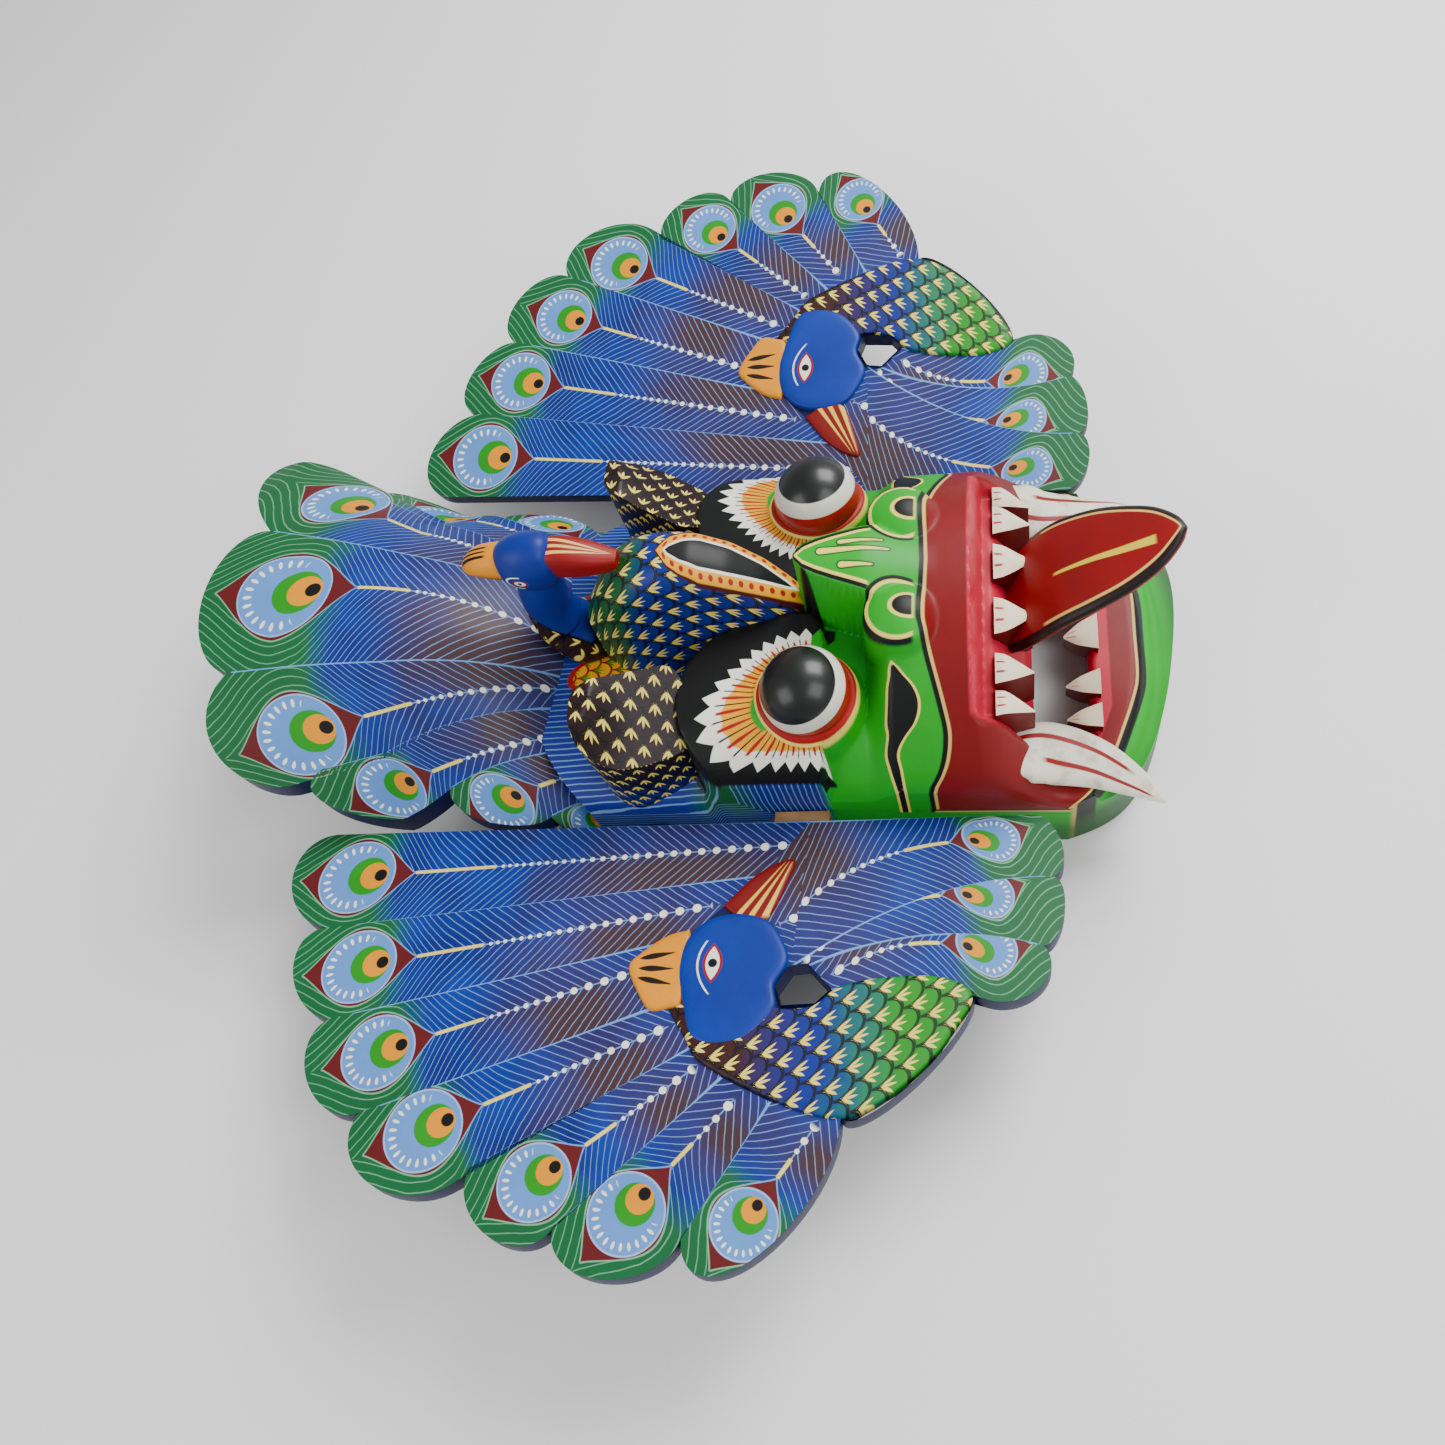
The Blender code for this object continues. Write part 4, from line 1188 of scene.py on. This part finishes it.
def bird_head_colour(tree):
    """Blue, with an eye on each side: black and white in a red almond, under a white brow."""
    x, y, z = place(tree)
    run, rise = x + 60.0, z - 139.0
    off = over(size_of(y), 6.0, 1.0)
    almond = reach_of(run / 1.6, rise)
    return lay(
        BIRD_BLUE,
        (between(almond, 4.0, 4.7, 0.15) * under(run, 1.0, 0.5) * off, WHITE),
        (under(almond, 2.6, 0.2) * off, hue("a51d1d")),
        (under(almond, 1.8, 0.2) * off, WHITE),
        (under(reach_of(run, rise), 1.1, 0.2) * off, BLACK),
    )


def neck_colour(tree):
    """Blue towards the head, a black line, then the brown scales of the breast."""
    x, y, z = place(tree)
    breast = scales_over(tree, BIRD_BROWN, (z - x) / 8.5, y / 8.5)
    edge = z + x * 1.1 - 28.0
    return lay(breast, (over(edge, 0.0, 0.3), BLACK), (over(edge, 1.6, 0.3), BIRD_BLUE))


# Each part's name and colour, its path, half widths, half heights, rings, sides and squareness.
BIRD_PARTS = (
    (
        "bird_head_enamel", bird_head_colour,
        [(-40, 0, 139), (-46, 0, 139), (-55, 0, 139), (-64, 0, 138.5), (-71, 0, 137.5), (-74, 0, 137)],
        [3, 11, 13.6, 12.6, 8.5, 2], [3, 13.5, 16, 15, 10.5, 2], 40, 36, 2.0,
    ),
    (
        "beak_enamel", beak_colour,
        [(-66, 0, 139), (-74, 0, 140.5), (-82, 0, 141), (-88, 0, 139.5), (-93, 0, 136.5)],
        [9.5, 9.5, 8.6, 6.4, 1.2], [9, 8.4, 6.4, 4.4, 1.0], 30, 28, 2.0,
    ),
    (
        "neck_enamel", neck_colour,
        [(-42, 0, 66), (-51, 0, 70), (-59, 0, 81), (-62, 0, 98), (-60, 0, 116), (-56, 0, 132)],
        [13, 17, 15.5, 12.5, 11.5, 9], [9, 14, 14.5, 12.5, 12, 10], 50, 36, 2.0,
    ),
    (
        "crest_enamel", crest_colour,
        [(-50, 0, 141), (-42, 0, 141), (-32, 0, 139), (-22, 0, 137), (-14, 0, 136)],
        [7.5, 8.5, 8.2, 6.5, 4], [8, 9, 8, 6, 4], 30, 28, 3.5,
    ),
)
bird_enamels = [enamel(name, colour) for name, colour, *shape in BIRD_PARTS]
swept_piece("forehead_bird", [sweep(*shape) for name, colour, *shape in BIRD_PARTS], bird_enamels)


# %% The forehead bird's back and wings
RIDGE_X = [-40, -30, -20, -8, 8, 22, 38, 52, 64, 74]
RIDGE_HALF = [10, 16, 18.5, 18.5, 16.5, 16, 15.5, 13, 8, 1.5]
RIDGE_TOP = [100, 118, 129, 137, 142, 140, 131, 119, 105, 92]
# The leaf's half width: a drop with its round end towards the bird.
LEAF_X = (0, 7, 12, 18, 26, 38, 52, 62, 70, 76, 84)
LEAF_HALF = (-9, 0, 7, 10.5, 12.5, 12, 9.5, 6.5, 3.2, 0, -9)


def ridge_patch():
    """Ribs across the ridge: a steep round shoulder, down to the forehead at the sides."""
    x = np.linspace(RIDGE_X[0], RIDGE_X[-1], 110)
    soft = np.exp(-np.linspace(-2, 2, 11) ** 2)
    soft /= soft.sum()
    half, top = (
        np.convolve(np.pad(np.interp(x, RIDGE_X, table), 5, "edge"), soft, "valid")
        for table in (RIDGE_HALF, RIDGE_TOP)
    )
    angle = np.linspace(-1, 1, 61) * np.radians(118)
    past = np.abs(angle) - np.pi / 2
    side = np.sign(angle) * np.minimum(np.abs(np.sin(angle)), 1) ** 0.8
    drop = np.where(past < 0, (1 - np.cos(angle)) * 13, 13 + past * 130)
    side = np.where(past < 0, side, np.sign(angle) * (1 + past * 0.5))
    y = half[:, None] * side
    z = top[:, None] - drop * np.minimum(1, half / 14)[:, None]
    z = np.maximum(z, base_height(x, 0 * x)[:, None] - 7)
    x = x[:, None] + 0 * y
    steps = np.hypot(np.diff(y, axis=1), np.diff(z, axis=1))
    arc = np.hstack([np.zeros((len(x), 1)), np.cumsum(steps, axis=1)])
    arc = arc - arc[:, 30:31]
    return patch(
        np.stack([x, y, z], -1), row=(x + 60 + np.abs(arc) * 0.2) / 8.8, column=arc / 12.5,
        leaf=np.interp(x, LEAF_X, LEAF_HALF) - np.abs(y), spot=x,
        shade=0.5 + 0.4 * ease(-10, 12, x + np.abs(arc) * 0.35),
    )


def ridge_colour(tree):
    leaf, spot = read(tree, "leaf", "spot")
    drops = reach_of((fraction(spot / 4.2) - 0.5) / 0.24, (leaf - 1.6) / 1.3)
    return lay(
        scale_colour(BIRD_BROWN, BIRD_GREEN, BIRD_BLUE)(tree),
        (over(leaf, -2.2, 0.3), hue("5e1a1c")),
        (over(leaf, -0.9, 0.25), ORANGE),
        (under(drops, 1.0, 0.15), hue("b02a18")),
        (over(leaf, 4.0, 0.2), WHITE),
        (over(leaf, 5.3, 0.2), BLACK),
    )


piece("forehead_ridge", [ridge_patch()], [enamel("ridge_enamel", ridge_colour)], sharp=60)

WING = [(-36, 70), (-33, 57), (-8, 45), (8, 41), (15, 55), (14, 73), (-15, 88), (-32, 84), (-36, 70)]


def wing_height(plan):
    """A slope down to the back and the side, with a rise at the wing's tip."""
    x, across = plan[:, 0], np.abs(plan[:, 1])
    tip = np.exp(-((x + 33) ** 2 + (across - 70) ** 2) / 14**2)
    return np.minimum(101 - 0.54 * (x + 14) - 0.54 * (across - 64) + 12 * tip, 116)


def wing_patches(side):
    """Rings of one outline: in over the sloping top to its middle, and down the wall."""
    outline = smooth_line(WING, 97)[:-1] * (1, side)
    centre = outline.mean(axis=0)
    plans = [centre + (outline - centre) * share for share in np.linspace(1, 0.001, 26)]
    top = np.stack([np.column_stack([plan, wing_height(plan)]) for plan in plans])
    foot = FOREHEAD - 11 - 18 * (np.abs(outline[:, 1]) / HALF) ** 3
    heights = [mix(wing_height(outline), foot, 1 - drop) for drop in np.linspace(1, 0, 12)]
    wall = np.stack([np.column_stack([outline, height]) for height in heights])
    fields = {"row": (np.abs(top[..., 1]) - 30) / 6.2, "column": top[..., 0] / 10.5, "shade": 0.2}
    down = np.linspace(0, 1, 12)[:, None] * (wall[0, :, 2] - wall[-1, :, 2])
    around = np.concatenate([[0], np.cumsum(np.linalg.norm(np.diff(outline, axis=0), axis=1))])
    skirt = {"row": 9 + down / 6.2, "column": around / 10.5 + 0 * down, "shade": 0.2 + down / 60}
    return [patch(top, wrap=True, **fields), patch(wall, wrap=True, away=(*centre, 60), **skirt)]


for side, label in ((1, "left"), (-1, "right")):
    piece(f"{label}_wing", wing_patches(side), [wing_enamel])


# %% [markdown]
# Each board is flat: seven tail feathers, three small ones, and a bird's head
# and body in low relief. The board's own length, width and thickness are
# placed beside the head by the board's slope and turn, as the CAD has them.

# %% The boards
TILT = {1: np.radians(13.0), -1: np.radians(10.7)}
TURN = {1: np.radians(-3.4), -1: np.radians(-1.7)}
BOARD_X, BOARD_SHIFT, BOARD_INNER, BOARD_HEIGHT, BOARD_THICK = 100, 10.9, 96.9, 45, 9
VALLEYS = np.array([
    (-271, 0), (-263, 55), (-246, 103), (-217, 147), (-158, 169), (-116, 191),
    (-62, 193), (0, 144), (55, 88), (86, 67), (92, 33), (84, 0),
], float)
TIPS = np.array([
    (-293, 25), (-274, 79), (-248, 133), (-199, 179), (-144, 196), (-93, 210),
    (-30, 198), (33, 125), (80, 89), (96, 50), (97, 14),
], float)
HUBS = np.array([
    (-20, 0), (-42, 30), (-75, 62), (-82, 95), (-64, 113), (-52, 128), (-30, 138),
    (-2, 143), (-6, 88), (-17, 76), (-25, 77), (-20, 0),
], float)
# Each feather's eye with its radius, and the root of its shaft; the bird's back has neither.
DISCS = [
    (-255.5, 26, 20.7), (-239, 76, 19), (-216, 119, 17.8), (-184, 154, 18),
    (-128, 174, 16), (-86, 185, 16.3), (-37, 187, 13.8), None,
    (62, 69.5, 12.5), (62.5, 42.5, 12), (66.5, 13.5, 12),
]
ROOTS = [
    (-27, 13), (-65, 45.5), (-100.5, 80), (-78.6, 105.5), (-65, 124.5), (-45.6, 137.6),
    (-10.5, 148), None, (-6.6, 80.7), (-18.7, 74), (-31, 55),
]
# How far the two borders and the shaft of a small feather bow.
BOWS = {8: (4, 10, 9), 9: (10, 12, 12), 10: (12, 0, 13)}
HOLE = [(-31, 87), (-25, 77), (-17, 76), (-6, 88), (-13, 95), (-28, 96), (-31, 87)]
# The hubs leave a corner beside the head that the last small feather's painting fills.
FILLER = np.array([[(-20, 0), (-25, 77)], [(-42, 30), (-46, 75)]], float)


def level(plan, thick):
    return np.concatenate([plan, np.full((*np.shape(plan)[:-1], 1), float(thick))], -1)


def board_place(points, side):
    """From length, width and thickness on the board to its place beside the head."""
    along, out, thick = np.moveaxis(np.asarray(points, float), -1, 0)
    x = np.cos(TURN[side]) * along - np.sin(TURN[side]) * out
    y = np.sin(TURN[side]) * along + np.cos(TURN[side]) * out
    reach = BOARD_INNER + y * np.cos(TILT[side]) - thick * np.sin(TILT[side])
    height = BOARD_HEIGHT + y * np.sin(TILT[side]) + thick * np.cos(TILT[side])
    return np.stack([x + BOARD_X + side * BOARD_SHIFT, side * reach, height], -1)


def flat_patch(plan, thick, side, **options):
    """A plan on the board at one thickness."""
    return patch(board_place(level(plan, thick), side), **options)


def board_feathers(side):
    made = []
    for number, disc in enumerate(DISCS):
        if disc is None:
            continue
        bows = BOWS.get(number, (0, 0, 0))
        corners = VALLEYS[number], TIPS[number], VALLEYS[number + 1], HUBS[number], HUBS[number + 1]
        plan = feather_plan(*corners, rows=32 if any(bows) else 14, bends=bows[:2])
        if number == 10:
            fields = feather_fields(FILLER, disc[:2], ROOTS[number], disc[2])
            made.append(flat_patch(FILLER, 0, side, **fields))
        fields = feather_fields(plan, disc[:2], ROOTS[number], disc[2], bows[2])
        made.append(flat_patch(plan, 0, side, **fields))
        made.append(flat_patch(plan, -BOARD_THICK, side, up=DOWN, paint=1))
    return made


def board_edges(side):
    """The lobed edge with a small round at the front, and the straight inner edge."""
    made = []
    turn = np.linspace(-np.pi / 2, np.pi / 2, 25)
    # How far the edge stands out at each depth.
    profile = ((0.0, 0.0), (0.08, -0.4), (0.12, -1.2), (0.12, -5.0), (0.12, -8.4), (0.0, -9.0))
    middle = np.array([-60.0, 80.0])
    runs = [lobe(VALLEYS[n], TIPS[n], VALLEYS[n + 1], turn) for n in range(len(TIPS))]
    runs.append(np.linspace(VALLEYS[-1], VALLEYS[0], 30))
    for run in runs:
        ahead = np.gradient(run, axis=0)
        out = np.column_stack([ahead[:, 1], -ahead[:, 0]])
        out /= np.maximum(np.linalg.norm(out, axis=1), 1e-6)[:, None]
        if ((run - middle) * out).sum() < 0:
            out = -out
        grid = np.stack([level(run + out * push, depth) for push, depth in profile])
        inside = board_place(level(np.mean(run, axis=0) * 0.7 + middle * 0.3, -4.5), side)
        made.append(patch(board_place(grid, side), away=inside, paint=2))
    return made


# The wood under the bird, as two fans of faces, each a centre and its outline.
MIDDLES = (
    ((-50, 80), [
        (-20, 0), (-42, 30), (-75, 62), (-82, 95), (-64, 113), (-52, 128), (-30, 138), (-28, 96), (-31, 87),
        (-25, 77), (-20, 0),
    ]),
    ((0, 115), [
        (-28, 96), (-30, 138), (-2, 143), (2, 144), (24, 130), (41, 112), (55, 88), (-6, 88), (-13, 95),
        (-28, 96),
    ]),
)


def board_middle(side):
    """The plain wood under the bird, front and back."""
    made = []
    for centre, outline in MIDDLES:
        plan = np.stack([outline, np.broadcast_to(centre, np.shape(outline))])
        made.append(flat_patch(plan, -0.3, side, paint=2))
        made.append(flat_patch(plan, -BOARD_THICK, side, up=DOWN, paint=1))
    return made


def hole_wall(side):
    """The wall of the hole below the bird's neck, which faces into the hole."""
    wall = np.stack([level(HOLE, 2), level(HOLE, -BOARD_THICK)])
    inside = board_place((-19, 86, -3), side)
    return patch(board_place(wall, side), away=inside, inward=True, paint=2)


TENON_START, TENON_END, TENON_OUT, TENON_IN = -38, -11, 0.5, -6.4
TENON_LOW, TENON_HIGH = -8.3, -0.9


def tenon_patches(side):
    """The bare tongue of wood that joins the board to the head."""
    ends = (TENON_START, TENON_END)
    face = np.array([[(end, TENON_IN), (end, TENON_OUT)] for end in ends], float)
    made = [
        flat_patch(face, TENON_HIGH, side, paint=7),
        flat_patch(face, TENON_LOW, side, up=DOWN, paint=7),
    ]
    # The walls run from the tongue's inner end into the board.
    corners = np.array([
        (TENON_START, -6.2), (TENON_END, -6.2), (TENON_END, 2), (TENON_START, 2),
    ])
    inside = board_place((-24.5, -2, -4.6), side)
    for start, end in zip(corners, np.roll(corners, -1, axis=0)):
        run = np.stack([start, end])
        wall = np.stack([level(run, TENON_HIGH), level(run, TENON_LOW)])
        made.append(patch(board_place(wall, side), away=inside, paint=7))
    return made


# %% The board's bird
HEAD = [
    (-74, 92), (-76.5, 78), (-74, 63), (-64, 53), (-50, 50.5), (-36, 55),
    (-27.5, 68), (-26.5, 76), (-31.5, 86), (-31, 98), (-45, 112), (-66, 112),
]
BODY = [
    (-79, 98), (-70, 111), (-63, 121), (-43, 131.5), (-17, 142), (2, 144), (20, 134.5), (37, 119), (47, 105),
    (55, 90), (42, 82), (20, 82), (2, 85), (-6, 89), (-14, 95.5), (-28, 97), (-45, 92), (-64, 90),
]
BEAK = [(-74, 58), (-84, 61), (-95, 69), (-101, 77), (-94, 91), (-88, 98), (-80, 97), (-74, 94), (-70, 76)]
CREST = [(-59, 46), (-46, 31), (-34, 23), (-26, 22), (-29, 34), (-36, 51), (-46, 56)]
SPOTS = {"length_at": lambda u, w: u, "width_at": lambda u, w: w}
BODY_FIELDS = {
    "row": lambda u, w: (u + 90 + (w - 110) * 0.15) / 7.6,
    "column": lambda u, w: (w + 0.35 * u) / 12.5,
    "shade": lambda u, w: (u + 70) / 118,
}
# Each part's outline, centre, number of its paint, height, points round it, inner rings and fields.
RELIEFS = (
    (BODY, (-8, 112), 4, 2.2, 96, 10, BODY_FIELDS),
    (HEAD, (-52, 78), 3, 3.0, 96, 10, SPOTS),
    (BEAK, (-84, 79), 5, 2.0, 64, 5, SPOTS),
    (CREST, (-40, 42), 6, 2.0, 64, 5, SPOTS),
)


def relief(side, outline, centre, paint, top, count, steps, fields):
    """A low pillow on an outline: a round shoulder up to its top, and a wall down into the board."""
    outline = smooth_line([*outline, outline[0]], count + 1)[:-1]
    size = np.linalg.norm(outline - centre, axis=1).mean()
    shoulder = [1.0, 1.0, 1.0 - 0.6 / size, 1.0 - 1.5 / size, 1.0 - 3.5 / size]
    shares = np.concatenate([shoulder, np.linspace(1 - 7 / size, 0.001, steps)])
    depths = np.concatenate([[-4.0, top - 1.8, top - 0.8, top - 0.3, top], np.full(steps, top)])
    rings = [level(centre + (outline - centre) * share, depth) for share, depth in zip(shares, depths)]
    grid = np.stack(rings)
    values = {name: value(grid[..., 0], grid[..., 1]) for name, value in fields.items()}
    inside = board_place((*centre, -3.0), side)
    return patch(board_place(grid, side), wrap=True, away=inside, paint=paint, **values)


def board_bird_head_colour(tree):
    """Blue with its eye: a white almond in a red line and a white brow stroke."""
    u, w = read(tree, "length_at", "width_at")
    run, rise = w - 76.2, u + 60.6
    lens = size_of(rise) - 4.6 * (1.0 - run * run / 95.0)
    brow = between(size_of(rise) - 6.6 * (1.0 - run * run / 230.0), 0.0, 0.9, 0.15)
    return lay(
        hue("1a4dac"),
        (over(noise(tree, 30, 3), 0.5, 0.3), BIRD_BLUE),
        (brow * under(rise, 0.0, 0.5) * under(size_of(run - 2.0), 13.0, 0.5), WHITE),
        (under(lens, 0.0, 0.2), hue("a51d1d")),
        (under(lens, -1.3, 0.2), WHITE),
        (under(reach_of(run, rise) - 2.2, 0.0, 0.2), BLACK),
    )


def board_beak_colour(tree):
    u, w = read(tree, "length_at", "width_at")
    run = (-77.0 - u) / 22.0
    gaps = [size_of(w - (78.0 + offset * (1.0 - run * 0.5))) for offset in (-8.0, 0.5, 8.5)]
    marks = [under(gap - 0.15 - run * run * (0.84 - run) * 15.0, 0.0, 0.2) for gap in gaps]
    return blend(reduce(most, marks) * between(run, 0.1, 0.86, 0.02), YELLOW, hue("2a1c10"))


def board_crest_colour(tree):
    u, w = read(tree, "length_at", "width_at")
    run = (54.0 - w) / 32.0
    gaps = [size_of(u - (-46.0 + run * 18.0 + offset * (1.0 - run * 0.8))) for offset in (-7.0, 0.0, 7.0)]
    marks = [under(gap - 1.6 * (1.0 - run), 0.0, 0.25) for gap in gaps]
    return blend(reduce(most, marks) * between(run, 0.05, 0.95, 0.03), hue("8d1f1c"), hue("eecb62"))


BOARD_PAINTS = [
    feather_enamel, enamel("board_back", hue("14233f"), wear=1.0, bump=0.5), navy_edge,
    enamel("board_bird_head", board_bird_head_colour), board_bird_enamel,
    enamel("board_beak", board_beak_colour), enamel("board_crest", board_crest_colour), raw_wood,
]
for side, label in ((1, "left"), (-1, "right")):
    patches = board_feathers(side) + board_edges(side) + board_middle(side) + tenon_patches(side)
    patches += [hole_wall(side), *(relief(side, *one) for one in RELIEFS)]
    piece(f"{label}_board", patches, BOARD_PAINTS, f"{label}_panel", sharp=40)


# %% [markdown]
# A plain pale floor, three soft lights and a camera where the photographer
# stood. The camera's place was solved from the mask's own measurements.

# %% Floor, light and camera
def turned(axes, where):
    """The matrix that stands a thing at a place, by its right, upward and backward axes."""
    return Matrix([(*row, spot) for row, spot in zip(np.stack(axes, 1), where)] + [(0, 0, 0, 1)])


def soft_light(name, where, power, size):
    """A square soft box that looks at the middle of the mask."""
    light = bpy.data.lights.new(name, "AREA")
    light.energy = power
    light.size = size
    back = np.array(where, float) - (0, 0, 0.05)
    back /= np.linalg.norm(back)
    right = np.cross((0.02, 1, 0.01), back)
    right /= np.linalg.norm(right)
    link(name, light).matrix_world = turned([right, np.cross(back, right), back], where)


floor = bpy.data.meshes.new("floor")
corners = [(x, y, -0.0005) for x, y in ((-4, -4), (4, -4), (4, 4), (-4, 4))]
floor.from_pydata(corners, [], [(0, 1, 2, 3)])
floor_paint = bpy.data.materials.new("pale_floor")
floor_paint.use_nodes = True
floor_shader = floor_paint.node_tree.nodes["Principled BSDF"]
floor_shader.inputs["Base Color"].default_value = (0.9, 0.9, 0.9, 1)
floor_shader.inputs["Roughness"].default_value = 0.85
floor.materials.append(floor_paint)
link("floor", floor)
soft_light("key", (0.75, 0.9, 1.25), 34, 0.9)
soft_light("fill", (-1.1, -0.9, 1.1), 12, 1.0)
soft_light("front", (1.0, -0.6, 1.2), 12, 0.9)
world = bpy.data.worlds.new("studio")
world.use_nodes = True
sky = world.node_tree.nodes["Background"]
sky.inputs["Color"].default_value = (1, 1, 1, 1)
sky.inputs["Strength"].default_value = 0.45
bpy.context.scene.world = world

CAMERA_AXES = [(0.973, 0.0812, -0.2162), (0.024, 0.8953, 0.4447), (0.2297, -0.4379, 0.8692)]
CAMERA_PLACE = (0.1660, -0.3053, 0.5771)
camera = bpy.data.cameras.new("camera")
camera.lens = 29.39
camera.sensor_width = 36
camera.shift_x, camera.shift_y = -0.0076, -0.0066
bpy.context.scene.camera = link("camera", camera)
bpy.context.scene.camera.matrix_world = turned(CAMERA_AXES, CAMERA_PLACE)
